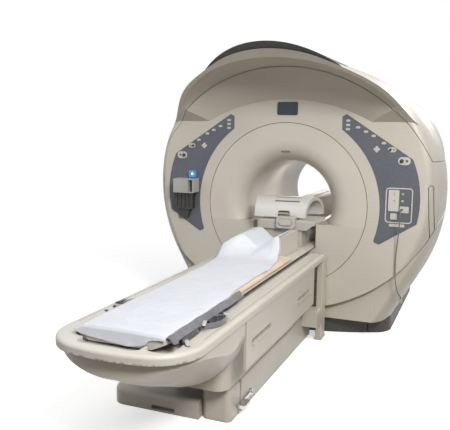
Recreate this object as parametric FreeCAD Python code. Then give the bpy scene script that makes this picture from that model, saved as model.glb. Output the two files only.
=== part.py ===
import FreeCAD, Part

# Whole-body MRI scanner with its patient table.
# Millimetres. The pieces are drawn about the bore: x to the right of someone facing the scanner,
# y into the bore from the front ring, z up from the bore's axis. They are saved with the origin
# on the floor, under the middle of the magnet.

import math
import os

V = FreeCAD.Vector

# ---- overall ----
AXIS_HEIGHT = 880.0          # bore axis above the floor
GANTRY_DEPTH = 1600.0        # front ring to rear face
SEAM = 3.0                   # visible gap between covers
SLIP = 1.0                   # clearance between pieces that slide past each other
FLOOR = -AXIS_HEIGHT

# ---- front cover outline: tangent arcs from the top, (radius, turn in degrees) ----
CROWN_Z = 985.0
FRONT_ARCS = ((1223.0, 34.0), (764.0, 49.0), (1093.0, 36.0))     # at the back of the front cover
BRIM_ARCS = ((1050.0, 34.0), (720.0, 49.0), (1030.0, 36.0))      # at the tip of the visor
BODY_TOP = 950.0
BODY_ARCS = ((1150.0, 34.0), (650.0, 49.0), (1000.0, 36.0))
PLINTH_TOP = -765.0
COVER_DEPTH = 330.0
COVER_WALL = 50.0
FACE_WALL = 30.0
EDGE_ROUND = 46.0
BODY_WALL = 20.0
REAR_DEPTH = 330.0

# ---- visor ----
BRIM_REACH = 520.0           # the block that the visor is cut from reaches this far forward
BRIM_FOOT_Z = 564.0          # where the brim's plane meets the front face
BRIM_SLOPE = 1.164           # forward per millimetre of height
LIP = 45.0                   # depth of the brim's lip at the top
LIP_SIDE = 40.0              # thickness of the visor beside the lip
SIGN_BAND_Z = 712.0          # top of the flat disc
SIGN_BAND_R = 1152.0
CREASE_R = 1046.0            # crease where the visor turns forward
CREASE_TOP = 910.0
CREASE_LEAN = 0.27
VISOR_END_Z = 318.0
CROWN_R = 740.0
CROWN_RISE = 40.0
CROWN_BACK = 300.0

# ---- front cover's lower edge ----
HEM_R = 1090.0
HEM_LOW = -714.0             # lowest point of the front cover
SKIRT_SETBACK = 45.0

# ---- plinth ----
PLINTH_HALF_WIDTH = 700.0
PLINTH_FRONT = 60.0
PLINTH_BACK = GANTRY_DEPTH - 120
PLINTH_WALL = 25.0
TRAY = 8.0

# ---- ring, funnels and bore ----
RING_R = 559.0
FUNNEL_ROUND = 140.0
THROAT_R = 300.0
THROAT_Y = 190.0
FUNNEL_WALL = 12.0
LINER_WALL = 4.0
TROUGH_R = 364.0             # below the ledge the bridge is deeper, for the tabletop's edges
REAR_THROAT_Y = GANTRY_DEPTH - 350
REAR_ROUND = 290.0
LEDGE_Z = -122.0
SLOT_X, SLOT_LENGTH, SLOT_WIDTH = 300.0, 95.0, 14.0

# ---- magnet ----
VESSEL_R = 735.0
COIL_GAP = 6.0               # between the liner, the body coil and the gradient coil
RF_COIL_R0 = TROUGH_R + LINER_WALL + COIL_GAP - 2
RF_COIL_R1 = RF_COIL_R0 + 18
GRADIENT_R0 = RF_COIL_R1 + COIL_GAP
GRADIENT_R1 = GRADIENT_R0 + 68
VESSEL_BORE_R = GRADIENT_R1 + 4
VESSEL_Y0, VESSEL_Y1 = 345.0, GANTRY_DEPTH - 345
COIL_Y0, COIL_Y1 = 215.0, GANTRY_DEPTH - 375
FOOT_X, FOOT_SPAN = 420.0, 180.0
COLD_HEAD_X, COLD_HEAD_Y, COLD_HEAD_R = 190.0, VESSEL_Y0 + 275, 62.0

# ---- control panels ----
PANEL_R = 638.0              # inner edge, round the ring
PANEL_THICK = 8.0
PANEL_GAP = 1.0
PANEL_FACE = -1.0            # the panels stand this far proud of the cover
KEY_PROUD = 3.0
KEY_LENGTH, KEY_WIDTH = 28.0, 15.0
KEY_PLACES = ((415, 572), (415, 545), (415, 518), (480, 530), (531, 503), (580, 477), (646, 432))
PAD_X, PAD_Z = 603.0, 393.0
PAD_ARM = 41.0
PAD_PETAL = 17.0
SPINDLE_R, SPINDLE_GAP = 5.5, 0.5
JACK_R = 7.5
JACK_FACE = -7.0
SMALL_OVAL = (699.0, 391.0, 52.0, 32.0)
LARGE_OVAL = (777.0, 322.0, 78.0, 50.0)
DISPLAY_X, DISPLAY_Z, DISPLAY_W, DISPLAY_H = 5.0, 650.0, 140.0, 84.0

# ---- table ----
DECK_HALF_WIDTH = 320.0
DECK_TOP = -290.0
DECK_BOTTOM = -328.0
DECK_FOOT = -2213.0
DECK_HEAD = -135.0
FOOT_ARCS = ((812.0, 11.0), (204.0, 79.0))   # foot end of the deck, from its middle: radius, turn
WELL_HALF_WIDTH = 222.0
WELL_FLOOR = -313.0
TOP_HALF_WIDTH = 214.0
TOP_Z = -266.0
TOP_EDGE = 8.0
TOP_BOTTOM = -305.0
TOP_GAP = 8.0
TOP_FLAT = 140.0
TOP_FOOT = -2095.0
TOP_HEAD = 350.0
PAD_HALF_WIDTH = 211.0
PAD_THICK = 24.0
PAD_CROWN = 5.0
PAD_HEAD = -505.0
HEAD_Y0, HEAD_Y1 = -500.0, -180.0
HEAD_FRONT_HALF, HEAD_BACK_HALF = 133.0, 152.0
HEAD_TOP = -136.0
SCOOP_HALF, SCOOP_DEPTH = 114.0, 70.0
SHEET_THICK = 3.0
SHEET_GAP = 2.0
SHEET_RISE = 70.0            # run over which the sheet rises to the head support
NOSE_SETBACK = 33.0          # the bowl starts this far behind the deck's foot
HULL_BOTTOM = -640.0
# bowl under the foot end of the deck: y, lowest point, radius
BOWL = ((-1540.0, -640.0, 327.0), (-1636.0, -640.0, 327.0), (-1740.0, -610.0, 350.0),
        (-1848.0, -565.0, 365.0), (-1988.0, -508.0, 390.0), (-2093.0, -453.0, 420.0),
        (-2195.0, -404.0, 380.0), (-2250.0, -376.0, 330.0))
PANEL_BOTTOM = -562.0
NOSE_JOIN = -1549.0
SIDE_PANEL_HEAD = -372.0
SKIN = 14.0
COVER_HALF_WIDTH = 210.0
COVER_BOTTOM = -690.0

# ---- table base ----
BEAM_TOP = -705.0
BEAM_X0, BEAM_X1 = 118.0, 200.0
BASE_OFFSET = -125.0         # the base stands left of the bore's axis
BASE_FRONT = -1475.0
BLOCK_FRONT = -1450.0
BASE_HALF_WIDTH = 325.0
BEAM_HEAD = -3.0
COLUMN_YS = (-1200.0, -640.0)
RAM_R = 42.0
TUBE_WALL = 9.0
POST_X0, POST_X1 = 264.0, 304.0
POST_Y0, POST_Y1 = -106.0, -3.0
BEAM_FOOT = -1300.0          # front end of the beams
BLOCK_X0 = 49.0
NOSE_TOP = -785.0
PLATE_TOP = FLOOR + 44.0
PLATE_HEAD = -480.0
PIN_R = 8.0
PEDAL_Y, PEDAL_Z = -1180.0, -823.0

# ---- slips in the cover's edge ----
SLIP_WIDTH = 24.0
SLIP_TOP = (944.0, 158.0)    # centre of its upper round end
SLIP_LENGTH = 420.0
SLIP_LEAN = 2.7              # degrees, outwards at the foot
SLIP_GROOVE = 4.0

# ---- receive coil ----
COIL_Y, COIL_Z, COIL_R = 34.0, -70.0, 131.0
COIL_TURN = 6.0              # degrees, about the vertical
COIL_STAND = 14.0            # the shell stands this far above the base
COIL_BASE_LOW = -150.0

# ---- lead ----
LEAD_R = 3.5


# ---- helpers ----
def box(x, y, z):
    return Part.makeBox(x[1] - x[0], y[1] - y[0], z[1] - z[0], V(x[0], y[0], z[0]))


def rod_x(r, x, y, z):
    return Part.makeCylinder(r, x[1] - x[0], V(x[0], y, z), V(1, 0, 0))


def rod_y(r, x, y, z):
    return Part.makeCylinder(r, y[1] - y[0], V(x, y[0], z), V(0, 1, 0))


def rod_z(r, x, y, z):
    return Part.makeCylinder(r, z[1] - z[0], V(x, y, z[0]), V(0, 0, 1))


def arc(a, b, c):
    return Part.Arc(V(*a), V(*b), V(*c)).toShape()


def line(a, b):
    return Part.LineSegment(V(*a), V(*b)).toShape()


def face(edges):
    return Part.Face(Part.Wire(Part.__sortEdges__(edges)))


def polygon(points):
    return Part.Face(Part.makePolygon([V(*p) for p in points] + [V(*points[0])]))


def along_y(flat, y):
    shape = flat.copy()
    shape.translate(V(0, y[0], 0))
    return shape.extrude(V(0, y[1] - y[0], 0))


def along_x(flat, x):
    shape = flat.copy()
    shape.translate(V(x[0], 0, 0))
    return shape.extrude(V(x[1] - x[0], 0, 0))


def along_z(flat, z):
    shape = flat.copy()
    shape.translate(V(0, 0, z[0]))
    return shape.extrude(V(0, 0, z[1] - z[0]))


def mirrored(shape):
    return shape.mirror(V(0, 0, 0), V(1, 0, 0))


def rounded(shape, radius, keep):
    """Fillets the edges for which keep(edge's box) is true."""
    edges = [e for e in shape.Edges if keep(e.BoundBox)]
    return shape.makeFillet(radius, edges) if edges else shape


def union(shapes):
    out = shapes[0]
    for s in shapes[1:]:
        out = out.fuse(s)
    return out.removeSplitter()


def group(shapes):
    return Part.makeCompound(shapes)


def one_solid(shape):
    """The single solid in a result."""
    solids = sorted(shape.Solids, key=lambda s: -s.Volume)
    return solids[0]


def save(name, shape):
    placed = shape.copy()
    placed.translate(V(0, -GANTRY_DEPTH / 2, AXIS_HEIGHT))
    solids = placed.Solids
    out = solids[0] if len(solids) == 1 else Part.makeCompound(solids)
    if not out.isValid() or not solids:
        print("CHECK", name, "valid", out.isValid(), "solids", len(solids))
    out.exportStep(os.path.join("parts", name + ".step"))
    box_ = out.BoundBox
    print(f"{name:22s} {len(solids):3d} x[{box_.XMin:.0f},{box_.XMax:.0f}] "
          f"y[{box_.YMin:.0f},{box_.YMax:.0f}] z[{box_.ZMin:.0f},{box_.ZMax:.0f}]")


def oval(x, z, length, width, y):
    """A slot-shaped block lying across x."""
    r = width / 2
    a = length / 2 - r
    edges = [line((x - a, 0, z + r), (x + a, 0, z + r)),
             arc((x + a, 0, z + r), (x + a + r, 0, z), (x + a, 0, z - r)),
             line((x + a, 0, z - r), (x - a, 0, z - r)),
             arc((x - a, 0, z - r), (x - a - r, 0, z), (x - a, 0, z + r))]
    return along_y(face(edges), y)


def rounded_box(x, y, z, r, axis):
    """A box whose edges along one axis are rounded."""
    block = box(x, y, z)
    size = {"x": (x, "XLength"), "y": (y, "YLength"), "z": (z, "ZLength")}[axis]
    length = size[0][1] - size[0][0]
    return rounded(block, r, lambda b: abs(getattr(b, size[1]) - length) < 1e-6
                   and b.DiagonalLength < length + 1e-6)


# ---- gantry outlines ----
def flank_edges(side, top, arcs, bottom):
    """One flank's tangent arcs, then its straight run down to the bottom; returns edges and the end."""
    x, z, heading = 0.0, top, 0.0
    edges = []
    for radius, turn in arcs:
        sweep = math.radians(turn)
        cx = x - radius * math.sin(heading)
        cz = z - radius * math.cos(heading)
        spots = [(side * (cx + radius * math.sin(heading + t)), 0, cz + radius * math.cos(heading + t))
                 for t in (0, sweep / 2, sweep)]
        edges.append(arc(*spots))
        x, z = side * spots[2][0], spots[2][2]
        heading += sweep
    run = (z - bottom) / math.sin(heading)
    end = (side * (x + run * math.cos(heading)), 0, bottom)
    edges.append(line((side * x, 0, z), end))
    return edges, end


def outline(top, arcs, bottom):
    right, a = flank_edges(1, top, arcs, bottom)
    left, b = flank_edges(-1, top, arcs, bottom)
    return face(right + left + [line(a, b)])


def inset(flat, amount):
    return flat.makeOffset2D(-amount)


def front_outline(share=1.0, shrink=0.0):
    """The front cover's outline, from the visor's tip (share 0) to the back of the cover (share 1)."""
    arcs = [(tip + share * (back - tip) - shrink, turn)
            for (tip, turn), (back, _) in zip(BRIM_ARCS, FRONT_ARCS)]
    return outline(CROWN_Z - shrink, arcs, PLINTH_TOP)


# the cover widens towards its back: y, share of the way between the two outlines
FLARE = ((-BRIM_REACH, 0.0), (-280.0, 0.05), (-50.0, 0.15), (0.0, 0.27), (60.0, 0.55), (110.0, 0.76),
         (180.0, 0.89), (250.0, 0.965), (COVER_DEPTH, 1.0))


def flared(shrink=0.0, front=None):
    """The solid inside the flaring outline, less the given thickness; front leaves out what is before it."""
    wires = []
    for y, share in FLARE:
        if front is not None and y < front:
            continue
        wire = front_outline(share, shrink).OuterWire
        wire.translate(V(0, y + (1 if shrink and y == COVER_DEPTH else 0), 0))
        wires.append(wire)
    return Part.makeLoft(wires, True, False)


def body_outline():
    return outline(BODY_TOP, BODY_ARCS, PLINTH_TOP)


def brim_y(z):
    return -(z - BRIM_FOOT_Z) * BRIM_SLOPE


def crease_y(z):
    return -CREASE_LEAN * (z - VISOR_END_Z - 5)


def flank_width(z):
    """Half the width of the visor at a height, where it meets the front face."""
    flat = front_outline(0.2)
    return flat.common(box((0, 2000), (-1, 1), (z - 0.5, z + 0.5)).common(flat)).BoundBox.XMax


def upper_arc(points, z):
    """The part above z of the arc through three points, as three points."""
    whole = arc(*points).Curve
    up = (V(*points[1]) - whole.Center) / whole.Radius
    turn = math.acos((z - whole.Center.z) / (whole.Radius * up.z))
    level = whole.Center + up * (whole.Radius * math.cos(turn))
    half = whole.Radius * math.sin(turn)
    return [(-half, level.y, level.z), points[1], (half, level.y, level.z)]


def ruled(arcs):
    wires = [Part.Wire([arc(*w), line(w[2], w[0])]) for w in arcs]
    return Part.makeLoft(wires, True, True)


def visor_air():
    """The hollow under the visor, in two steps: disc edge to crease, crease to the inside of the lip."""
    disc_low, crease_low = VISOR_END_Z - 45, VISOR_END_Z + 5
    disc_half = math.sqrt(SIGN_BAND_R ** 2 - (SIGN_BAND_R - SIGN_BAND_Z + disc_low) ** 2)
    disc = [(-disc_half, 0, disc_low), (0, 0, SIGN_BAND_Z), (disc_half, 0, disc_low)]
    crease_half = math.sqrt(CREASE_R ** 2 - (CREASE_R - CREASE_TOP + crease_low) ** 2)
    crease = [(-crease_half, -2, crease_low), (0, crease_y(CREASE_TOP) - 2, CREASE_TOP),
              (crease_half, -2, crease_low)]
    lip_top, lip_low = CROWN_Z - LIP, BRIM_FOOT_Z - 4
    half = flank_width(lip_low) - LIP_SIDE
    lip = [(-half, brim_y(lip_low), lip_low), (0, brim_y(lip_top), lip_top),
           (half, brim_y(lip_low), lip_low)]
    meet = (BRIM_SLOPE * BRIM_FOOT_Z - CREASE_LEAN * crease_low + 2) / (BRIM_SLOPE - CREASE_LEAN) + 3
    lip = upper_arc(lip, meet)
    beyond = [(x, y - 60, z + 2) for x, y, z in lip]
    return [ruled([disc, crease]), ruled([upper_arc(crease, meet), lip, beyond])]


def brim_wedge(forward=0.0):
    """Everything behind the sloping plane of the visor's brim."""
    high, back = CROWN_Z + 180, COVER_DEPTH + 70
    foot = BRIM_FOOT_Z - back / BRIM_SLOPE
    wedge = polygon([(0, brim_y(high) + forward, high), (0, back, high), (0, back, foot)])
    return along_x(wedge, (-1300, 1300))


def front_master(whole):
    """Front cover and visor as one block, before it is hollowed and parted."""
    block = whole.common(box((-1300, 1300), (0, COVER_DEPTH), (PLINTH_TOP, 1300)))
    block = rounded(block, EDGE_ROUND, lambda b: b.YMax < 0.5 and b.ZMax > PLINTH_TOP + 1)
    visor = whole.common(brim_wedge())
    for air in visor_air():
        visor = visor.cut(air)
    return block.fuse(visor).removeSplitter()


def hem_round(r, y):
    return rod_y(r, 0, y, HEM_LOW + HEM_R)


def visor_zone(grow):
    """Everything outside the crease and above the visor's ends."""
    zone = box((-1200, 1200), (-700, 500), (VISOR_END_Z + grow, 1200))
    return zone.cut(rod_y(CREASE_R + grow, 0, (-700, 500), CREASE_TOP - CREASE_R))


def panel_face(side, grow):
    """A control panel's outline on the right or left of the ring."""
    top_x, tip_angle = 377.0, math.radians(-19.0)
    top = (top_x, 0, math.sqrt(PANEL_R ** 2 - top_x ** 2))
    tip = (PANEL_R * math.cos(tip_angle), 0, PANEL_R * math.sin(tip_angle))
    middle = (PANEL_R * math.cos(0.3), 0, PANEL_R * math.sin(0.3))
    tip_low = (640.0, 0, -222.0)
    low = (868.0, 0, -75.0)
    outer_mid = (883.0, 0, 60.0)
    high = (828.0, 0, 332.0)
    peak = (404.0, 0, 612.0)
    shoulder = (top_x, 0, 598.0)
    edges = [arc(top, middle, tip), line(tip, tip_low), line(tip_low, low), arc(low, outer_mid, high),
             line(high, peak), line(peak, shoulder), line(shoulder, top)]
    flat = face(edges)
    solid = along_y(flat, (PANEL_FACE, PANEL_FACE + PANEL_THICK))
    solid = rounded(solid, 14, lambda b: b.YLength > PANEL_THICK - 0.5 and b.XLength < 1e-6 and b.ZLength < 1e-6
                    and b.XMin > 500)
    if grow:
        solid = solid.makeOffsetShape(grow, 0.01, join=2)
    return solid if side > 0 else mirrored(solid)


def edge_slip(side, grow):
    """Narrow slip with round ends, let into the cover's edge."""
    x, z = SLIP_TOP
    slip = oval(0, 0, SLIP_LENGTH + 2 * grow, SLIP_WIDTH + 2 * grow, (-60, 200))
    slip.translate(V(SLIP_LENGTH / 2 - SLIP_WIDTH / 2, 0, 0))
    slip.rotate(V(0, 0, 0), V(0, 1, 0), 90 - SLIP_LEAN)
    slip.translate(V(x, 0, z))
    return slip if side > 0 else mirrored(slip)


def front_pieces(whole, hollow):
    master = front_master(whole).cut(hollow)
    master = master.cut(rod_y(RING_R, 0, (-50, COVER_DEPTH + 1), 0))
    visor = one_solid(master.common(visor_zone(SEAM)))
    cover = master.common(hem_round(HEM_R, (-700, COVER_DEPTH + 1))).cut(visor_zone(0))
    slips = [one_solid(cover.common(edge_slip(side, 0))) for side in (1, -1)]
    for side in (1, -1):
        cover = cover.cut(panel_face(side, PANEL_GAP)).cut(edge_slip(side, SLIP_GROOVE))
    bezel = display_bezel(1.0)
    cover = one_solid(cover.cut(bezel))
    save("front_cover", cover)
    save("visor", visor)
    save("edge_slips", group(slips))


def display_bezel(grow):
    w, h = DISPLAY_W / 2 + grow, DISPLAY_H / 2 + grow
    return rounded_box((DISPLAY_X - w, DISPLAY_X + w), (-4, 10 + grow), (DISPLAY_Z - h, DISPLAY_Z + h),
                       10 + grow, "y")


def display_pieces():
    frame = display_bezel(0)
    w, h = DISPLAY_W / 2 - 9, DISPLAY_H / 2 - 8
    window = rounded_box((DISPLAY_X - w, DISPLAY_X + w), (-4, 4), (DISPLAY_Z - h, DISPLAY_Z + h), 5, "y")
    save("display_bezel", frame.cut(window))
    save("display_screen", rounded_box((DISPLAY_X - w, DISPLAY_X + w), (-1, 4),
                                       (DISPLAY_Z - h, DISPLAY_Z + h), 5, "y"))


def top_crown(whole):
    """The dark lens-shaped cap on the visor."""
    disc = rod_y(CROWN_R, 0, (-BRIM_REACH - 40, CROWN_BACK), CROWN_Z + CROWN_RISE - CROWN_R)
    disc = disc.common(box((-700, 700), (-600, 400), (CROWN_Z - 300, 1200)))
    save("top_crown", one_solid(disc.common(brim_wedge(12)).cut(whole)))


def skirt(whole, hollow):
    """The set-back lower part of the front, down to the plinth."""
    block = whole.common(box((-1300, 1300), (SKIRT_SETBACK, COVER_DEPTH), (PLINTH_TOP, HEM_LOW + HEM_R)))
    block = rounded(block, EDGE_ROUND - 8, lambda b: b.YMax < SKIRT_SETBACK + 0.5 and b.ZMax > PLINTH_TOP + 1
                    and b.ZMax < HEM_LOW + HEM_R - 1)
    hollow = hollow.common(box((-1300, 1300), (SKIRT_SETBACK + FACE_WALL, COVER_DEPTH + 2), (-900, 1300)))
    block = block.cut(hollow).cut(hem_round(HEM_R + SEAM, (-10, COVER_DEPTH + 1)))
    save("lower_skirt", one_solid(block))


def body_shell():
    """Side covers and rear cover, hollow round the magnet."""
    flat = body_outline()
    y0, y1 = COVER_DEPTH, GANTRY_DEPTH - REAR_DEPTH
    tube = along_y(flat, (y0, y1)).cut(along_y(inset(flat, BODY_WALL), (y0 - 1, y1 + 1)))
    foot_x = flank_edges(1, BODY_TOP, BODY_ARCS, PLINTH_TOP)[1][0] - 2 * BODY_WALL
    tube = tube.cut(box((-foot_x, foot_x), (y0 - 1, y1 + 1), (PLINTH_TOP - 1, PLINTH_TOP + BODY_WALL + 1)))
    half = SEAM / 2
    right = tube.common(box((half, 1200), (y0, y1), (PLINTH_TOP, 1200)))
    save("side_cover_right", right)
    save("side_cover_left", mirrored(right))
    rear = along_y(flat, (y1 + SEAM, GANTRY_DEPTH))
    rear = rounded(rear, 90, lambda b: b.YMin > GANTRY_DEPTH - 0.5 and b.ZMax > PLINTH_TOP + 1)
    rear = rear.cut(along_y(inset(flat, COVER_WALL), (y1, GANTRY_DEPTH - FACE_WALL)))
    rear = rear.cut(rod_y(THROAT_R + REAR_ROUND + SEAM, 0, (y1, GANTRY_DEPTH + 1), 0))
    save("rear_cover", rear)


def plinth_plan(shrink):
    w = PLINTH_HALF_WIDTH - shrink
    front = PLINTH_FRONT + shrink
    back = PLINTH_BACK - shrink
    corner = 600.0 - shrink * 0.7
    edges = [arc((-corner, front + 140, 0), (0, front, 0), (corner, front + 140, 0))]
    for s in (1, -1):
        edges.append(arc((s * corner, front + 140, 0), (s * (w - 28), front + 195, 0), (s * w, front + 290, 0)))
        edges.append(line((s * w, front + 290, 0), (s * w, back, 0)))
    edges.append(line((-w, back, 0), (w, back, 0)))
    return face(edges)


def plinth():
    ring = along_z(plinth_plan(0), (FLOOR, PLINTH_TOP)).cut(
        along_z(plinth_plan(PLINTH_WALL), (FLOOR - 1, PLINTH_TOP + 1)))
    groove = box((560, 566), (0, 400), (FLOOR - 1, PLINTH_TOP + 1))
    ring = ring.cut(groove.common(box((0, 900), (0, 206), (FLOOR - 1, PLINTH_TOP + 1))))
    tray = along_z(plinth_plan(0), (FLOOR, FLOOR + TRAY))
    save("plinth", one_solid(union([one_solid(ring), tray])))


def funnel_profile():
    """Section of the front ring: flat rim, quarter round, throat, and a flange against the liner."""
    r0, r1 = RING_R - SEAM, THROAT_R + FUNNEL_ROUND
    t, q = FUNNEL_WALL, FUNNEL_ROUND
    c = math.sqrt(0.5)
    out_mid = (r1 - q * c, q - q * c, 0)
    in_mid = (r1 - (q - t) * c, q - (q - t) * c, 0)
    edges = [line((r0, 0, 0), (r1, 0, 0)), arc((r1, 0, 0), out_mid, (THROAT_R, q, 0)),
             line((THROAT_R, q, 0), (THROAT_R, THROAT_Y, 0)),
             line((THROAT_R, THROAT_Y, 0), (TROUGH_R + LINER_WALL, THROAT_Y, 0)),
             line((TROUGH_R + LINER_WALL, THROAT_Y, 0), (TROUGH_R + LINER_WALL, THROAT_Y - t, 0)),
             line((TROUGH_R + LINER_WALL, THROAT_Y - t, 0), (THROAT_R + t, THROAT_Y - t, 0)),
             line((THROAT_R + t, THROAT_Y - t, 0), (THROAT_R + t, q, 0)),
             arc((THROAT_R + t, q, 0), in_mid, (r1, t, 0)), line((r1, t, 0), (r0, t, 0)),
             line((r0, t, 0), (r0, 0, 0))]
    return face(edges)


def spun(profile):
    """Turns a section drawn in x and y about the bore's axis."""
    return profile.revolve(V(0, 0, 0), V(0, 1, 0), 360)


def rear_profile():
    t, q = FUNNEL_WALL, REAR_ROUND
    y0 = REAR_THROAT_Y
    y1 = GANTRY_DEPTH - q
    r1 = THROAT_R + q
    c = math.sqrt(0.5)
    edges = [line((THROAT_R, y0, 0), (THROAT_R, y1, 0)),
             arc((THROAT_R, y1, 0), (r1 - q * c, y1 + q * c, 0), (r1, GANTRY_DEPTH, 0)),
             line((r1, GANTRY_DEPTH, 0), (r1, GANTRY_DEPTH - t, 0)),
             arc((r1, GANTRY_DEPTH - t, 0), (r1 - (q - t) * c, y1 + (q - t) * c, 0), (THROAT_R + t, y1, 0)),
             line((THROAT_R + t, y1, 0), (THROAT_R + t, y0 + t, 0)),
             line((THROAT_R + t, y0 + t, 0), (TROUGH_R + LINER_WALL, y0 + t, 0)),
             line((TROUGH_R + LINER_WALL, y0 + t, 0), (TROUGH_R + LINER_WALL, y0, 0)),
             line((TROUGH_R + LINER_WALL, y0, 0), (THROAT_R, y0, 0))]
    return face(edges)


def channel(y):
    """The way that the tabletop takes through the bridge."""
    side = TOP_HALF_WIDTH + TOP_GAP
    edge = TOP_Z - TOP_EDGE - TOP_GAP / 2
    flat, low = TOP_FLAT + 1, TOP_BOTTOM - TOP_GAP
    points = [(-side, 0, 200), (-side, 0, edge), (-flat, 0, low), (flat, 0, low), (side, 0, edge), (side, 0, 200)]
    return along_y(polygon(points), y)


def below(z):
    return box((-700, 700), (-10, GANTRY_DEPTH), (-700, z))


def bore_pieces():
    above = box((-700, 700), (-10, THROAT_Y + 1), (LEDGE_Z, 700))
    ring = spun(funnel_profile()).common(above)
    save("front_funnel", ring.cut(laser_window(0.5)))
    save("laser_window", laser_window(0))
    save("bore_liner", liner())
    save("rear_funnel", spun(rear_profile()))
    save("bridge", bridge())


def liner():
    """Tube of the bore above the ledge, standing on the bridge's shoulders."""
    y = (THROAT_Y, REAR_THROAT_Y)
    tube = rod_y(THROAT_R + LINER_WALL, 0, y, 0).cut(rod_y(THROAT_R, 0, (y[0] - 1, y[1] + 1), 0))
    return one_solid(tube.cut(below(LEDGE_Z - LINER_WALL)))


def bridge():
    """Ledge across the ring and along the bore, with the tabletop's channel."""
    front = rod_y(RING_R - SEAM, 0, (0, THROAT_Y), 0)
    y = (THROAT_Y, REAR_THROAT_Y)
    deep = rod_y(TROUGH_R, 0, y, 0).common(below(LEDGE_Z - LINER_WALL))
    block = front.fuse(rod_y(THROAT_R - 0.5, 0, y, 0)).fuse(deep).common(below(LEDGE_Z))
    block = block.cut(channel((-20, GANTRY_DEPTH)))
    for s in (1, -1):
        x = s * SLOT_X
        block = block.cut(rounded_box((x - SLOT_LENGTH / 2, x + SLOT_LENGTH / 2), (22, 22 + SLOT_WIDTH),
                                      (LEDGE_Z - 10, LEDGE_Z + 1), 6, "z"))
    return one_solid(block)


def laser_window(grow):
    """Slim window set in the curved top of the ring."""
    x, z = -9.0, 362.0
    block = oval(x, z, 66 + 2 * grow, 15 + 2 * grow, (0, 70))
    return block.common(spun(funnel_profile()))


def magnet_pieces():
    vessel = rod_y(VESSEL_R, 0, (VESSEL_Y0, VESSEL_Y1), 0)
    vessel = rounded(vessel, 60, lambda b: b.YLength < 1e-6)
    vessel = vessel.cut(rod_y(VESSEL_BORE_R, 0, (VESSEL_Y0 - 1, VESSEL_Y1 + 1), 0))
    gradient = rod_y(GRADIENT_R1, 0, (COIL_Y0, COIL_Y1), 0).cut(
        rod_y(GRADIENT_R0, 0, (COIL_Y0 - 1, COIL_Y1 + 1), 0))
    save("gradient_coil", gradient)
    body_coil = rod_y(RF_COIL_R1, 0, (COIL_Y0 + 90, COIL_Y1 - 90), 0).cut(
        rod_y(RF_COIL_R0, 0, (COIL_Y0, COIL_Y1), 0))
    rungs = 16
    for i in range(rungs):
        a = 2 * math.pi * (i + 0.5) / rungs
        gap = box((-38, 38), (COIL_Y0 + 150, COIL_Y1 - 150), (RF_COIL_R0 + 6, RF_COIL_R1 + 20))
        gap.rotate(V(0, 0, 0), V(0, 1, 0), math.degrees(a))
        body_coil = body_coil.cut(gap)
    save("body_coil", body_coil)
    feet = []
    for x in (-FOOT_X, FOOT_X):
        for y in (VESSEL_Y0 + 80, VESSEL_Y1 - 80 - FOOT_SPAN):
            block = box((x - FOOT_SPAN / 2, x + FOOT_SPAN / 2), (y, y + FOOT_SPAN), (FLOOR + TRAY, -560))
            feet.append(block.cut(rod_y(VESSEL_R, 0, (VESSEL_Y0, VESSEL_Y1), 0)))
    save("magnet_feet", group(feet))
    neck = rod_z(COLD_HEAD_R, COLD_HEAD_X, COLD_HEAD_Y, (600, 832))
    flange = rod_z(COLD_HEAD_R + 26, COLD_HEAD_X, COLD_HEAD_Y, (800, 822))
    head = rod_z(COLD_HEAD_R - 18, COLD_HEAD_X, COLD_HEAD_Y, (830, 900))
    save("magnet_vessel", one_solid(union([vessel, neck, flange, head])))


# ---- control panels ----
def key_pad(y):
    """Four-way key, two crossed ovals."""
    across = oval(PAD_X, PAD_Z, PAD_ARM, PAD_PETAL, y)
    up = oval(0, 0, PAD_ARM, PAD_PETAL, y)
    up.rotate(V(0, 0, 0), V(0, 1, 0), 90)
    up.translate(V(PAD_X, 0, PAD_Z))
    return across.fuse(up).removeSplitter()


def connector_plates():
    """Sockets of the right-hand panel: a framed plate with strips and round jacks."""
    frame_x, frame_z = (672.0, 840.0), (-74.0, 152.0)
    y0, y1 = -4.0, PANEL_FACE
    outer = rounded_box(frame_x, (y0, y1), frame_z, 22, "y")
    inner = rounded_box((frame_x[0] + 7, frame_x[1] - 7), (y0 - 1, y1 + 1),
                        (frame_z[0] + 7, frame_z[1] - 7), 16, "y")
    plates = [outer.cut(inner),
              rounded_box((690, 756), (-5, y1), (2, 138), 6, "y"),
              rounded_box((762, 818), (-5, y1), (-6, 35), 6, "y"),
              rounded_box((706, 748), (-5, y1), (-52, -12), 6, "y"),
              rounded_box((700, 796), (-4, y1), (-98, -80), 5, "y")]
    holes = group([rod_y(JACK_R, x, (-9, 3), z) for x, z in JACKS])
    return [p.cut(holes) for p in plates]


JACKS = ((727.0, 114.0), (727.0, 70.0), (778.0, 114.0), (778.0, 69.0), (776.0, 15.0))


def jack(x, z):
    return rod_y(JACK_R, x, (JACK_FACE, 4), z).cut(rod_y(LEAD_R + 0.7, x, (-8, PANEL_FACE), z))


def dial_hole(length, x, z, y):
    return rod_y(SPINDLE_R + SPINDLE_GAP, x - length * 0.2, y, z)


def dial(x, z, length, width):
    """A turning knob on a spindle through its oval plate and the panel."""
    centre = x - length * 0.2
    knob = rod_y(width * 0.24, centre, (-14, -6.5), z)
    grip = box((centre - 1.5, centre + 1.5), (-17, -14), (z - width * 0.2, z + width * 0.2))
    return union([knob, grip, rod_y(SPINDLE_R, centre, (-6.5, 4), z)])


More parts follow.
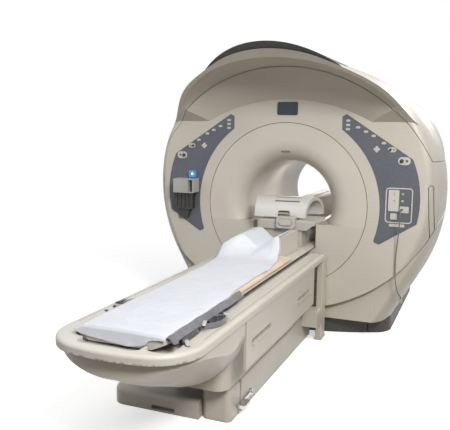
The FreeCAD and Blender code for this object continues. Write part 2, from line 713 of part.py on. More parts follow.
def panel_pieces():
    ovals = (("small", SMALL_OVAL), ("large", LARGE_OVAL))
    plates, lids = [], []
    for x, z, length, width in (SMALL_OVAL, LARGE_OVAL):
        plate = oval(x, z, length, width, (-6, PANEL_FACE))
        plate = plate.cut(rod_y(width * 0.17, x + length * 0.2, (-7, 0), z))
        plates.append(plate.cut(dial_hole(length, x, z, (-7, 0))))
    for side, word in ((1, "right"), (-1, "left")):
        panel = panel_face(1, 0)
        for x, z, length, _ in (SMALL_OVAL, LARGE_OVAL):
            panel = panel.cut(dial_hole(length, x, z, (-5, 20)))
        keys = [key_pad((PANEL_FACE - KEY_PROUD, PANEL_FACE))]
        for x, z in KEY_PLACES:
            keys.append(oval(x, z, KEY_LENGTH, KEY_WIDTH, (PANEL_FACE - KEY_PROUD, PANEL_FACE)))
        if side > 0:
            panel = panel.cut(group([rod_y(JACK_R, x, (-9, 4), z) for x, z in JACKS]))
            save("connector_plate", group(connector_plates() + [jack(x, z) for x, z in JACKS]))
        placed = (lambda s: s) if side > 0 else mirrored
        save("control_panel_" + word, placed(panel))
        save("keys_" + word, group([placed(k) for k in keys]))
        lids += [placed(p) for p in plates]
        for name, (x, z, length, width) in ovals:
            save(f"dial_{name}_{word}", placed(dial(x, z, length, width)))
    save("dial_plates", group(lids))


def monitor_box():
    """The box on the left panel, with a dark slot in its front, a lamp above it and a module below."""
    x, z = (-805.0, -645.0), (58.0, 158.0)
    body = rounded_box(x, (-96, PANEL_FACE), z, 8, "y")
    slot = box((x[1] - 42, x[1] - 10), (-97, -30), (z[0] + 8, z[1] - 8))
    save("monitor_box", body.cut(slot))
    save("call_lamp", rounded_box((-716, -664), (-24, PANEL_FACE), (164, 214), 8, "y"))
    top = z[0] - SLIP
    module = rounded_box((-822, -676), (-46, PANEL_FACE), (-62, top), 10, "y")
    for i in range(4):
        groove = -796 + i * 30
        module = module.cut(box((groove, groove + 6), (-50, -42), (-50, top - 12)))
    tongue = along_y(polygon([(-800, 0, -60), (-708, 0, -60), (-724, 0, -128), (-790, 0, -128)]),
                     (-22, PANEL_FACE))
    save("sensor_module", union([module, tongue]))


# ---- leads ----
def cord_tube(points, radius):
    """A tube of straight runs joined by tangent arcs; returns the solid and its path length."""
    pts = [V(*p) for p in points]
    edges = []
    start = pts[0]
    length = 0.0
    radii = []
    for i in range(1, len(pts) - 1):
        a, b, c = pts[i - 1], pts[i], pts[i + 1]
        u = (a - b).normalize()
        w = (c - b).normalize()
        turn = math.pi - u.getAngle(w)
        shorter = min((a - b).Length, (c - b).Length)
        bend = 0.45 * shorter / math.tan(turn / 2)
        cut = 0.45 * shorter
        p, q = b + u * cut, b + w * cut
        axis = (u + w).normalize()
        centre = b + axis * (bend / math.cos(turn / 2))
        middle = centre - axis * bend
        edges.append(Part.LineSegment(start, p).toShape())
        edges.append(Part.Arc(p, middle, q).toShape())
        radii.append(round(bend, 1))
        start = q
    edges.append(Part.LineSegment(start, pts[-1]).toShape())
    path = Part.Wire(edges)
    length = path.Length
    ring = Part.Wire(Part.Circle(pts[0], pts[1] - pts[0], radius).toShape())
    tube = path.makePipeShell([ring], True, False)
    return tube, length, radii


SENSOR_ROUTE = [(776, -36, 15), (776, -62, 15), (776, -80, -8), (775, -77, -42), (772, -64, -82),
                (768, -48, -126), (764, -34, -174), (758, -24, -226), (754, -18, -282), (752, -15, -340),
                (754, -17, -398), (759, -18, -454), (768, -13, -504), (780, 8, -542), (789, 36, -560),
                (789, 52, -576)]


def leads():
    tube, length, radii = cord_tube(SENSOR_ROUTE, LEAD_R)
    want = math.pi * LEAD_R ** 2 * length
    print("sensor_lead length", round(length), "volume ratio", round(tube.Volume / want, 4), "radii", radii)
    save("sensor_lead", tube)
    x, z = JACKS[4]
    plug = rod_y(6.5, x, (-36, JACK_FACE), z)
    save("sensor_plug", plug)
    save("sensor_tip", rounded_box((778, 800), (44, 60), (-606, -580), 4, "z"))


# ---- table ----
def deck_plan(shrink):
    """Plan of the deck: two tangent arcs each side of the foot's middle, then straight sides."""
    edges = []
    for s in (1, -1):
        x, y, heading = 0.0, DECK_FOOT + shrink, 0.0
        for radius, turn in FOOT_ARCS:
            r, sweep = radius - shrink, math.radians(turn)
            cx, cy = x - r * math.sin(heading), y + r * math.cos(heading)
            spots = [(s * (cx + r * math.sin(heading + t)), cy - r * math.cos(heading + t), 0)
                     for t in (0, sweep / 2, sweep)]
            edges.append(arc(*spots))
            x, y = s * spots[2][0], spots[2][1]
            heading += sweep
        edges.append(line((s * x, y, 0), (s * x, DECK_HEAD, 0)))
    edges.append(line((-x, DECK_HEAD, 0), (x, DECK_HEAD, 0)))
    return face(edges)


def table_deck():
    deck = along_z(deck_plan(0), (DECK_BOTTOM, DECK_TOP))
    deck = rounded(deck, 16, lambda b: b.ZMin > DECK_TOP - 0.5 and b.YMin < DECK_HEAD - 1)
    well = rounded_box((-WELL_HALF_WIDTH, WELL_HALF_WIDTH), (TOP_FOOT - 8, 200), (WELL_FLOOR, 0), 60, "z")
    deck = deck.cut(well)
    deck = deck.cut(box((-WELL_HALF_WIDTH, WELL_HALF_WIDTH), (-300, 0), (WELL_FLOOR, 0)))
    for x, w, deep in ((-20.0, 140.0, 62.0), (188.0, 56.0, 40.0)):
        scoop = rounded_box((x - w, x + w), (TOP_FOOT - 8 - deep, TOP_FOOT + 100), (DECK_TOP - 26, 0), 34, "z")
        deck = deck.cut(scoop)
    for s in (1, -1):
        groove = s * (DECK_HALF_WIDTH - 30)
        deck = deck.cut(box((groove - 2, groove + 2), (-1950, DECK_HEAD + 1), (DECK_TOP - 3, 0)))
    rails = [box((x - 16, x + 16), (TOP_FOOT + 30, DECK_HEAD), (WELL_FLOOR, TOP_BOTTOM - SLIP))
             for x in (-90, 90)]
    save("table_deck", union([deck] + rails))


def bowl_wire(y, low, radius):
    """Section of the bowl: an arc through its lowest point, closed level with the deck."""
    high = DECK_BOTTOM + 30
    half = math.sqrt(radius ** 2 - (low + radius - high) ** 2)
    a, b = (-half, y, high), (half, y, high)
    return Part.Wire([arc(a, (0, y, low), b), line(b, a)])


def nose_shell():
    block = Part.makeLoft([bowl_wire(*row) for row in BOWL], True, False)
    plan = along_z(deck_plan(8), (HULL_BOTTOM - 5, DECK_BOTTOM))
    plan.translate(V(0, NOSE_SETBACK, 0))
    plan = plan.common(box((-400, 400), (DECK_FOOT - 1, NOSE_JOIN), (HULL_BOTTOM - 5, DECK_BOTTOM)))
    save("nose_shell", one_solid(block.common(plan)))


def side_panels():
    w = DECK_HALF_WIDTH - 4
    y = (NOSE_JOIN + SEAM, SIDE_PANEL_HEAD)
    panel = box((w - SKIN, w), y, (PANEL_BOTTOM, DECK_BOTTOM))
    panel = rounded(panel, 6, lambda b: b.XMin > w - 0.5 and b.YLength > 100)
    slots = ((-1475, -1198), (-730, -468))
    ledges = []
    for a, b in slots:
        panel = panel.cut(rounded_box((w - SKIN - 1, w + 1), (a, b), (-452, -436), 6, "x"))
        ledges.append(rounded_box((w, w + 7), (a, b), (-466, -453), 5, "x"))
    panel = union([panel] + ledges)
    save("side_panel_right", panel)
    save("side_panel_left", mirrored(panel))


def table_frame():
    """Two rails and cross members inside the table, which carry the deck."""
    rails = [box((x - 25, x + 25), (NOSE_JOIN + 60, SIDE_PANEL_HEAD - 20), (DECK_BOTTOM - 70, DECK_BOTTOM))
             for x in (-262, 262)]
    cross = [box((-287, 287), (y - 50, y + 50), (DECK_BOTTOM - 60, DECK_BOTTOM - 10)) for y in COLUMN_YS]
    frame = union(rails + cross)
    for y in COLUMN_YS:
        frame = frame.cut(rod_z(RAM_R - 12, BASE_OFFSET + 60, y, (DECK_BOTTOM - 70, DECK_BOTTOM)))
    save("table_frame", frame)


def lift_cover():
    x, y = COVER_HALF_WIDTH, (-1600 + 60, -400)
    outer = rounded_box((-x, x), y, (COVER_BOTTOM, DECK_BOTTOM - 72), 60, "z")
    inner = rounded_box((-x + SKIN, x - SKIN), (y[0] + SKIN, y[1] - SKIN), (COVER_BOTTOM - 1, 0), 48, "z")
    save("lift_cover", outer.cut(inner))


def lift_columns():
    x = BASE_OFFSET + 60
    tubes, rams, screws = [], [], []
    for y in COLUMN_YS:
        tube = rod_z(RAM_R + SLIP + TUBE_WALL, x, y, (PLATE_TOP, -560))
        tube = tube.cut(rod_z(RAM_R + SLIP, x, y, (FLOOR + 60, -559)))
        tubes.append(tube)
        ram = rod_z(RAM_R, x, y, (-790, DECK_BOTTOM - 60))
        ram = ram.cut(rod_z(16, x, y, (-791, DECK_BOTTOM - 100)))
        rams.append(ram)
        screws.append(rod_z(13, x, y, (FLOOR + 60, -520)))
    save("lift_tubes", group(tubes + screws))
    save("lift_rams", group(rams))
    motor = union([rod_y(55, x - 110, (-1130, -880), FLOOR + 104),
                   box((x - 165, x - 55), (-1180, -1130), (PLATE_TOP, FLOOR + 164))])
    save("lift_motor", motor)


def base_pieces():
    beams = []
    for s in (1, -1):
        x0 = BASE_OFFSET + s * (BEAM_X0 - BASE_OFFSET)
        x1 = BASE_OFFSET + s * (BEAM_X1 - BASE_OFFSET)
        x0, x1 = min(x0, x1), max(x0, x1)
        beam = box((x0, x1), (BEAM_FOOT, BEAM_HEAD), (FLOOR, BEAM_TOP))
        beams.append(rounded(beam, 18, lambda b: b.ZMin > BEAM_TOP - 0.5 and b.YLength > 100))
    far_x = 2 * BASE_OFFSET - BEAM_X0
    plate = box((far_x, BEAM_X0), (BEAM_FOOT, PLATE_HEAD), (FLOOR, PLATE_TOP))
    pin = rod_x(PIN_R, (BEAM_X1, BEAM_X1 + 20), PEDAL_Y, PEDAL_Z)
    save("floor_frame", union(beams + [plate, pin]))
    x0, x1 = BASE_OFFSET - BASE_HALF_WIDTH, BLOCK_X0 - SEAM
    front = BASE_FRONT
    plan = face([line((x0, BEAM_FOOT, 0), (x0, front + 75, 0)),
                 arc((x0, front + 75, 0), (x0 + 22, front + 22, 0), (x0 + 85, front, 0)),
                 line((x0 + 85, front, 0), (x1, front, 0)), line((x1, front, 0), (x1, BEAM_FOOT, 0)),
                 line((x1, BEAM_FOOT, 0), (x0, BEAM_FOOT, 0))])
    nose = along_z(plan, (FLOOR, NOSE_TOP))
    nose = rounded(nose, 34, lambda b: b.ZMin > NOSE_TOP - 0.5 and b.YMax < BEAM_FOOT - 1)
    nose = nose.cut(rounded_box((-215, -84), (front - 5, front + 30), (FLOOR + 9, FLOOR + 30), 9, "y"))
    save("base_nose", nose)
    block = rounded_box((BLOCK_X0, BEAM_X1), (BLOCK_FRONT, BEAM_FOOT), (FLOOR, BEAM_TOP), 30, "z")
    save("foot_block", rounded(block, 28, lambda b: b.ZMin > BEAM_TOP - 0.5))


def guide_post():
    """Post under the head end of the deck, tied to the beam by a brace and standing on a foot."""
    x, y = (POST_X0, POST_X1), (POST_Y0, POST_Y1)
    post = rounded_box(x, y, (FLOOR + 14, DECK_BOTTOM - SLIP), 6, "z")
    foot = box((x[0] - 4, x[1] + 4), (y[0] - 4, y[1]), (FLOOR, FLOOR + 14))
    brace = box((BEAM_X1, x[1]), (y[0] - 110, y[0]), (BEAM_TOP - 60, BEAM_TOP + 50))
    brace = rounded(brace, 16, lambda b: b.ZMin > BEAM_TOP + 49 and b.YLength > 50)
    save("guide_post", union([post, foot, brace]))


def pedal():
    """Foot pedal beside the front block, on a pin in the beam."""
    x0 = BEAM_X1 + 2
    arm = box((x0, x0 + 12), (PEDAL_Y - 115, PEDAL_Y), (PEDAL_Z - 7, PEDAL_Z + 7))
    tread = rounded_box((x0, x0 + 46), (PEDAL_Y - 192, PEDAL_Y - 110), (PEDAL_Z - 13, PEDAL_Z + 7), 8, "z")
    hub = rod_x(16, (x0, x0 + 12), PEDAL_Y, PEDAL_Z)
    piece = union([arm, tread, hub])
    save("foot_pedal", piece.cut(rod_x(PIN_R + 0.4, (x0 - 1, x0 + 13), PEDAL_Y, PEDAL_Z)))


def tabletop():
    z0, z1 = TOP_BOTTOM, TOP_Z
    w = TOP_HALF_WIDTH
    section = polygon([(-w, 0, z1), (-w, 0, z1 - TOP_EDGE), (-TOP_FLAT, 0, z0), (TOP_FLAT, 0, z0),
                       (w, 0, z1 - TOP_EDGE), (w, 0, z1)])
    board = along_y(section, (TOP_FOOT, TOP_HEAD))
    plan = rounded_box((-w, w), (TOP_FOOT, TOP_HEAD), (z0 - 1, z1 + 1), 55, "z")
    board = board.common(plan)
    save("tabletop", board)


def pad_z(x):
    """Height of the pad's crowned top, falling away at its edges."""
    t = x / (PAD_HALF_WIDTH - 5)
    return TOP_Z + PAD_THICK - PAD_CROWN * t ** 2 - 4 * t ** 16


def mattress():
    """Pad with a crowned top and drawn-in sides."""
    y0, y1 = TOP_FOOT + 24, PAD_HEAD
    half, top = PAD_HALF_WIDTH, TOP_Z + PAD_THICK
    points = [V((half - 5) * i / 8, 0, pad_z((half - 5) * i / 8)) for i in range(-8, 9)]
    crown = Part.BSplineCurve()
    crown.interpolate(points)
    a, b = points[0], points[-1]
    low_a, low_b = V(-half + 7, 0, TOP_Z), V(half - 7, 0, TOP_Z)
    middle = (TOP_Z + b.z) / 2
    section = face([crown.toShape(), Part.Arc(b, V(half, 0, middle), low_b).toShape(),
                    Part.LineSegment(low_b, low_a).toShape(),
                    Part.Arc(low_a, V(-half, 0, middle), a).toShape()])
    pad = along_y(section, (y0, y1))
    save("mattress", pad.common(rounded_box((-half - 5, half + 5), (y0, y1), (TOP_Z - 1, top + 5), 30, "z")))


def scoop_z(x):
    """Height of the scooped top of the head support."""
    t = min(abs(x) / SCOOP_HALF, 1.0)
    return HEAD_TOP - SCOOP_DEPTH * (0.5 + 0.5 * math.cos(math.pi * t))


def offset_curve(points, amount):
    """The points moved square to the line that they make, upwards."""
    moved = []
    for i, (x, z) in enumerate(points):
        x0, z0 = points[max(i - 1, 0)]
        x1, z1 = points[min(i + 1, len(points) - 1)]
        run = math.hypot(x1 - x0, z1 - z0)
        moved.append((x - amount * (z1 - z0) / run, z + amount * (x1 - x0) / run))
    return moved


def curve_at(y, points):
    curve = Part.BSplineCurve()
    curve.interpolate([V(x, y, z) for x, z in points])
    return curve.toShape()


SHEET_STEPS = 24


def sheet_section(y, height, left, right):
    """Cross section of the sheet, lying just over the surface that the height function gives."""
    low = []
    for i in range(SHEET_STEPS + 1):
        t = 2 * i / SHEET_STEPS - 1
        x = t * (right if t > 0 else left)
        low.append((x, height(x) + SHEET_GAP))
    high = offset_curve(low, SHEET_THICK)
    ends = [line((a[0], y, a[1]), (b[0], y, b[1])) for a, b in ((low[-1], high[-1]), (high[0], low[0]))]
    return Part.Wire([curve_at(y, low), ends[0], curve_at(y, high[::-1]), ends[1]])


def bed_sheet():
    """Sheet laid over the pad, rising to the head support and lying in its scoop."""
    half, foot = PAD_HALF_WIDTH + 4, TOP_FOOT - 16
    rise = HEAD_Y0 - 6 - SHEET_RISE
    tucked = PAD_HALF_WIDTH - 7
    rows = ((foot, pad_z, half, tucked), (-1900, pad_z, half, tucked), (-1500, pad_z, half, tucked),
            (-1390, pad_z, half, 192), (-1080, pad_z, half, 185), (-910, pad_z, half, 197),
            (-690, pad_z, half, 173), (rise, pad_z, half - 1, 152), (HEAD_Y0 - 6, scoop_z, 131, 126),
            (-340, scoop_z, 127, 118), (HEAD_Y1 + 3, scoop_z, 123, 108))
    cloth = Part.makeLoft([sheet_section(*row) for row in rows], True, True)
    edge = pad_z(0) - PAD_CROWN
    flap = box((-half + 40, 132), (foot, foot + SHEET_THICK), (edge - 42, edge + SHEET_GAP + 1))
    save("bed_sheet", one_solid(union([cloth, flap])))


def head_box():
    """Head support: a block with a scooped top, a little wider at the head end."""
    plan = polygon([(-HEAD_FRONT_HALF, HEAD_Y0, 0), (HEAD_FRONT_HALF, HEAD_Y0, 0),
                    (HEAD_BACK_HALF, HEAD_Y1, 0), (-HEAD_BACK_HALF, HEAD_Y1, 0)])
    height = HEAD_TOP - TOP_Z
    block = rounded(along_z(plan, (TOP_Z, HEAD_TOP)), 12, lambda b: b.ZLength > height - 1)
    steps = [i * SCOOP_HALF / 12 for i in range(-12, 13)]
    dip = [(s, scoop_z(s) + (s / SCOOP_HALF) ** 2) for s in steps]
    left, right = dip[0], dip[-1]
    scoop = face([curve_at(0, dip), line((right[0], 0, right[1]), (right[0], 0, 0)),
                  line((right[0], 0, 0), (left[0], 0, 0)), line((left[0], 0, 0), (left[0], 0, left[1]))])
    block = block.cut(along_y(scoop, (HEAD_Y0 - 10, HEAD_Y1 + 10)))
    save("head_box", one_solid(block.removeSplitter()))


def coil_turned(shape):
    """Puts a shape drawn about the coil's own axis in its place."""
    shape.rotate(V(0, 0, 0), V(0, 0, 1), COIL_TURN)
    shape.translate(V(0, COIL_Y, COIL_Z))
    return shape


def coil_shell():
    """Arched upper shell with two slots and a notch for the latch's boss."""
    shell = rod_x(COIL_R, (-190, 260), 0, 0).cut(rod_x(COIL_R - 24, (-191, 261), 0, 0))
    shell = shell.common(box((-300, 300), (-300, 300), (0, 200)))
    for turn in (-38, -18):
        slot = box((-60, 110), (-6, 6), (COIL_R - 36, COIL_R + 39))
        slot.rotate(V(0, 0, 0), V(1, 0, 0), -turn)
        shell = shell.cut(slot)
    end = polygon([(150, -140, 0), (255, 150, 0), (420, 150, 0), (420, -140, 0)])
    shell = shell.cut(along_z(end, (-10, 200)))
    return shell.cut(rounded_box((-30, 50), (-160, -96), (-5, 44), 12, "y"))


def coil():
    """Receive coil across the head end: base with a boss and latch, arched upper shell, tail box."""
    low, top, middle = COIL_BASE_LOW, COIL_Z - COIL_STAND, COIL_Y
    left, right, under = -166, 244, TOP_HALF_WIDTH - 34
    section = polygon([(left, 0, low), (under, 0, low), (right, 0, top - 18), (right, 0, top), (left, 0, top)])
    main = along_y(section, (middle - 138, middle + 136))
    main = rounded(main, 22, lambda b: b.XMax < left + 1 and b.ZLength > 50)
    main = rounded(main, 12, lambda b: b.ZMin > top - 0.5)
    tunnel = rod_x(COIL_R - 27, (-200, 260), middle, COIL_Z)
    boss = rounded_box((-14, 113), (-138, -90), (-138, COIL_Z + 12), 20, "y")
    riser = box((-150, 150), (middle - 124, TOP_HEAD - 5), (TOP_Z, low))
    pocket = oval(49, -96, 88, 42, (-139, -122))
    clear = rod_x(COIL_R + 1, (-200, 270), 0, 0).common(box((-300, 300), (-300, 300), (-1, 200)))
    base = union([main, boss, riser]).cut(tunnel).cut(coil_turned(clear)).cut(pocket)
    leg = COIL_R - 12
    stands = [coil_turned(rod_z(7, x, y, (-COIL_STAND, 0))) for x in (-150, 120) for y in (-leg, leg)]
    save("coil_base", one_solid(union([base] + stands)))
    save("coil_latch", oval(49, -96, 86, 40, (-148, -130)))
    save("coil_shell", one_solid(coil_turned(coil_shell())))
    tail = rounded_box((0, 165), (290, 800), (low, 28), 24, "y")
    band = rounded_box((52, 118), (300, 790), (-20, 36), 10, "y")
    tail = union([tail, band])
    save("coil_tail", tail)


def straps():
    """Body strap leaning on the pad's right edge, loops heaped on the deck, and its ends on the left."""
    x = PAD_HALF_WIDTH - 5
    z = pad_z(x) + 7
    section = polygon([(x, 0, z), (x + 25, 0, z - 27), (x + 29, 0, z - 23), (x + 4, 0, z + 4)])
    band = along_y(section, (-2085, -1365))
    rest = DECK_TOP + SLIP / 2
    heap = rounded_box((x + 21, x + 84), (-1960, -1690), (rest, rest + 36), 14, "z")
    save("strap_right", union([band, heap]))
    outer, inner = -WELL_HALF_WIDTH - 64, -WELL_HALF_WIDTH - 4
    save("strap_left", rounded_box((outer, inner), (-1800, -1600), (DECK_TOP, DECK_TOP + 16), 10, "z"))


def main():
    os.makedirs("parts", exist_ok=True)
    display_pieces()
    whole = flared()
    hollow = flared(COVER_WALL, 0.0).common(
        box((-1300, 1300), (FACE_WALL, COVER_DEPTH + 2), (PLINTH_TOP + COVER_WALL, 1300)))
    front_pieces(whole, hollow)
    top_crown(whole)
    skirt(whole, hollow)
    body_shell()
    plinth()
    bore_pieces()
    magnet_pieces()
    panel_pieces()
    monitor_box()
    leads()
    table_deck()
    nose_shell()
    side_panels()
    table_frame()
    lift_cover()
    lift_columns()
    base_pieces()
    guide_post()
    pedal()
    tabletop()
    mattress()
    bed_sheet()
    head_box()
    coil()
    straps()


main()
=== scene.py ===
import math

import bmesh
import bpy
import numpy as np
from mathutils import Matrix, Vector, noise


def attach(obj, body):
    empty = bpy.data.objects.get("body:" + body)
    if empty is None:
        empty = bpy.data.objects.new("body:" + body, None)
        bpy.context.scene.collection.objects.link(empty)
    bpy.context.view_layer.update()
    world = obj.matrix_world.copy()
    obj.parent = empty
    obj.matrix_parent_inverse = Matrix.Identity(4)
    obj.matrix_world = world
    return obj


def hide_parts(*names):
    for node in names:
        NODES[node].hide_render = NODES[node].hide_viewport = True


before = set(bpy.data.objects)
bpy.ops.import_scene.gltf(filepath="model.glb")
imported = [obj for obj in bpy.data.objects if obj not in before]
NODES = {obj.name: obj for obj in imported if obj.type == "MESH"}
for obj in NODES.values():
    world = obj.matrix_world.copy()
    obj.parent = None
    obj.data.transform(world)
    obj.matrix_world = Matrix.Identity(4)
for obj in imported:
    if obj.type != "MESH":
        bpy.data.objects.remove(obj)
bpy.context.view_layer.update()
SCENE = bpy.context.scene
SCENE.view_settings.view_transform = "Standard"

# The bore's axis crosses the front ring here, in metres. Every shape and route below is in millimetres from it.
RING = Vector((0.0, -0.8, 0.88))

# the camera fitted to the photograph: metres, degrees, and millimetres for the lens and the sensor
CAMERA_PLACE = (1.26, -4.868, 1.409)
CAMERA_TURN, CAMERA_TIP_DOWN, CAMERA_ROLL = 22.69, 8.07, 0.52
CAMERA_LENS, CAMERA_SENSOR = 50.07, 36.0


# ---------------------------------------------------------------- camera
def make_camera():
    data = bpy.data.cameras.new("camera")
    data.sensor_fit = "HORIZONTAL"
    data.sensor_width = CAMERA_SENSOR
    data.lens = CAMERA_LENS
    data.clip_start, data.clip_end = 0.05, 100.0
    camera = bpy.data.objects.new("camera", data)
    SCENE.collection.objects.link(camera)
    turn = Matrix.Rotation(math.radians(CAMERA_TURN), 4, "Z")
    tip = Matrix.Rotation(math.radians(90 - CAMERA_TIP_DOWN), 4, "X")
    roll = Matrix.Rotation(math.radians(CAMERA_ROLL), 4, "Z")
    camera.matrix_world = Matrix.Translation(CAMERA_PLACE) @ turn @ tip @ roll
    SCENE.camera = camera


make_camera()


# ---------------------------------------------------------------- shader building
class Shader:
    """One material. Calls add a node and return its output socket."""

    def __init__(self, name):
        self.material = bpy.data.materials.new(name)
        self.material.use_nodes = True
        self.tree = self.material.node_tree
        self.tree.nodes.clear()
        self.out = self.tree.nodes.new("ShaderNodeOutputMaterial")
        self.bsdf = self.tree.nodes.new("ShaderNodeBsdfPrincipled")
        self.tree.links.new(self.bsdf.outputs[0], self.out.inputs[0])
        self.place = self.node("ShaderNodeTexCoord").outputs["Object"]

    def node(self, kind, inputs=(), **settings):
        node = self.tree.nodes.new(kind)
        for key, value in settings.items():
            setattr(node, key, value)
        for key, value in dict(inputs).items():
            self.put(node.inputs[key], value)
        return node

    def put(self, socket, value):
        if isinstance(value, bpy.types.NodeSocket):
            self.tree.links.new(value, socket)
        else:
            socket.default_value = value

    def set(self, **values):
        for key, value in values.items():
            self.put(self.bsdf.inputs[key.replace("_", " ")], value)

    def noise(self, scale, detail=2.0, rough=0.5, place=None, distortion=0.0):
        inputs = {"Vector": place or self.place, "Scale": scale, "Detail": detail,
                  "Roughness": rough, "Distortion": distortion}
        return self.node("ShaderNodeTexNoise", inputs).outputs["Fac"]

    def stretched(self, scale):
        return self.node("ShaderNodeMapping", {"Vector": self.place, "Scale": scale}).outputs[0]

    def ramp(self, value, low, high, to_low=0.0, to_high=1.0):
        inputs = {"Value": value, "From Min": low, "From Max": high, "To Min": to_low, "To Max": to_high}
        return self.node("ShaderNodeMapRange", inputs).outputs[0]

    def mix(self, factor, a, b):
        """Blend of two colours; sockets 0, 6 and 7 are the factor and the colours."""
        node = self.node("ShaderNodeMix", data_type="RGBA")
        self.put(node.inputs[0], factor)
        for socket, value in ((node.inputs[6], a), (node.inputs[7], b)):
            if isinstance(value, (tuple, list)) and len(value) == 3:
                value = (*value, 1.0)
            self.put(socket, value)
        return node.outputs[2]

    def math(self, operation, a, b=0.0):
        node = self.node("ShaderNodeMath", operation=operation)
        self.put(node.inputs[0], a)
        self.put(node.inputs[1], b)
        return node.outputs[0]

    def bump(self, height, strength, distance, normal=None):
        inputs = {"Height": height, "Strength": strength, "Distance": distance}
        if normal is not None:
            inputs["Normal"] = normal
        return self.node("ShaderNodeBump", inputs).outputs[0]

    def bevel(self, radius):
        return self.node("ShaderNodeBevel", {"Radius": radius}, samples=4).outputs[0]

    def crevice(self, distance):
        node = self.node("ShaderNodeAmbientOcclusion", {"Distance": distance}, samples=6)
        return node.outputs["AO"]


def lift(colour, factor):
    return tuple(min(1.0, c * factor) for c in colour)


def moulded(name, colour, rough=0.38, edge=0.0025, mottle=0.05, crevice_shade=0.35, scuff=0.0, dark_line=None):
    """Painted or moulded plastic: slow unevenness of tone, orange peel, painted shade in the gaps, softened
    edges.

    smudge is a dark broken line along the side at a fixed height: its height, its half width, and the Y from
    which it fades in.
    """
    s = Shader(name)
    slow = s.ramp(s.noise(2.2, 3.0), 0.3, 0.7)
    tone = s.mix(slow, lift(colour, 1 - mottle), lift(colour, 1 + mottle))
    warm = s.ramp(s.noise(0.9, 2.0, place=s.stretched((1, 1, 1.7))), 0.35, 0.65)
    yellow = (colour[0] * 1.01, colour[1] * 0.985, colour[2] * 0.93)
    tone = s.mix(s.math("MULTIPLY", warm, 0.5), tone, yellow)
    # painted shade: warm brown laid on where ambient occlusion finds gaps and crevices, its strength varied by
    # noise
    painted_shade = s.ramp(s.crevice(0.035), 0.35, 0.95, 1.0, 0.0)
    painted_shade = s.math("MULTIPLY", painted_shade, s.ramp(s.noise(14.0, 3.0), 0.3, 0.7, crevice_shade * 0.5, crevice_shade))
    tone = s.mix(painted_shade, tone, lift((colour[0], colour[1] * 0.93, colour[2] * 0.76), 0.42))
    if scuff:
        marks = s.noise(38.0, 4.0, 0.7, place=s.stretched((1, 5, 5)))
        marks = s.math("MULTIPLY", s.ramp(marks, 0.66, 0.74), scuff)
        tone = s.mix(marks, tone, lift(colour, 0.62))
    if dark_line:
        level, half, start = dark_line
        parts = s.node("ShaderNodeSeparateXYZ", {0: s.place})
        near = s.math("ABSOLUTE", s.math("SUBTRACT", parts.outputs["Z"], level))
        along = s.ramp(parts.outputs["Y"], start, start - 0.1)
        line = s.math("MULTIPLY", s.ramp(near, half * 0.3, half, 1.0, 0.0), along)
        marks = s.ramp(s.noise(34.0, 4.0, 0.65, place=s.stretched((1, 1, 0.4))), 0.46, 0.60)
        tone = s.mix(s.math("MULTIPLY", s.math("MULTIPLY", line, marks), 0.8), tone, (0.085, 0.080, 0.085))
    s.set(Base_Color=tone)
    s.set(Roughness=s.ramp(s.noise(9.0, 3.0), 0.3, 0.7, rough - 0.05, rough + 0.07))
    s.set(Coat_Weight=0.08, Coat_Roughness=0.3)
    rounded = s.bevel(edge) if edge else None
    s.set(Normal=s.bump(s.noise(420.0, 1.0), 0.10, 0.0004, rounded))
    return s.material


def textured(name, colour, rough=0.6, grain=900.0, depth=0.35):
    """Grained plastic, as on panels, boxes and bumpers."""
    s = Shader(name)
    slow = s.ramp(s.noise(5.0, 4.0), 0.3, 0.7)
    tone = s.mix(slow, lift(colour, 0.92), lift(colour, 1.08))
    dust = s.ramp(s.noise(60.0, 5.0, 0.7), 0.45, 0.8, 0.0, 0.12)
    tone = s.mix(dust, tone, (0.42, 0.40, 0.37))
    s.set(Base_Color=tone, Roughness=s.ramp(s.noise(16.0, 2.0), 0.3, 0.7, rough - 0.06, rough + 0.06))
    s.set(Normal=s.bump(s.noise(grain, 2.0, 0.6), depth, 0.0003, s.bevel(0.0015)))
    return s.material


def metal(name, colour, rough=0.3, brushed=None):
    s = Shader(name)
    place = s.stretched(brushed) if brushed else None
    streak = s.noise(180.0, 3.0, 0.6, place=place)
    s.set(Base_Color=s.mix(s.ramp(streak, 0.3, 0.7), lift(colour, 0.86), colour), Metallic=1.0)
    s.set(Roughness=s.ramp(streak, 0.3, 0.7, rough - 0.08, rough + 0.12))
    s.set(Normal=s.bump(streak, 0.12, 0.0003, s.bevel(0.001)))
    return s.material


def cloth(name, colour):
    """Plain weave, with a faint press of the laundry and soft unevenness."""
    s = Shader(name)
    thread = 0.0011                         # metres from one thread to the next
    waves = []
    for axis in ("X", "Y"):
        node = s.node("ShaderNodeTexWave", {"Vector": s.place, "Scale": 0.314 / thread, "Distortion": 0.4,
                                            "Detail": 1.0, "Detail Scale": 2.0},
                      wave_type="BANDS", bands_direction=axis)
        waves.append(node.outputs["Fac"])
    weave = s.math("MULTIPLY", waves[0], waves[1])
    slow = s.ramp(s.noise(7.0, 4.0, 0.6), 0.3, 0.7)
    tone = s.mix(slow, lift(colour, 0.955), lift(colour, 1.02))
    tone = s.mix(s.ramp(weave, 0.0, 0.25, 0.10, 0.0), tone, lift(colour, 0.72))
    s.set(Base_Color=tone, Roughness=0.85, Sheen_Weight=0.25, Sheen_Roughness=0.4)
    crush = s.noise(24.0, 5.0, 0.62, distortion=0.6)
    first = s.bump(crush, 0.22, 0.004)
    s.set(Normal=s.bump(weave, 0.35, 0.0004, first))
    return s.material


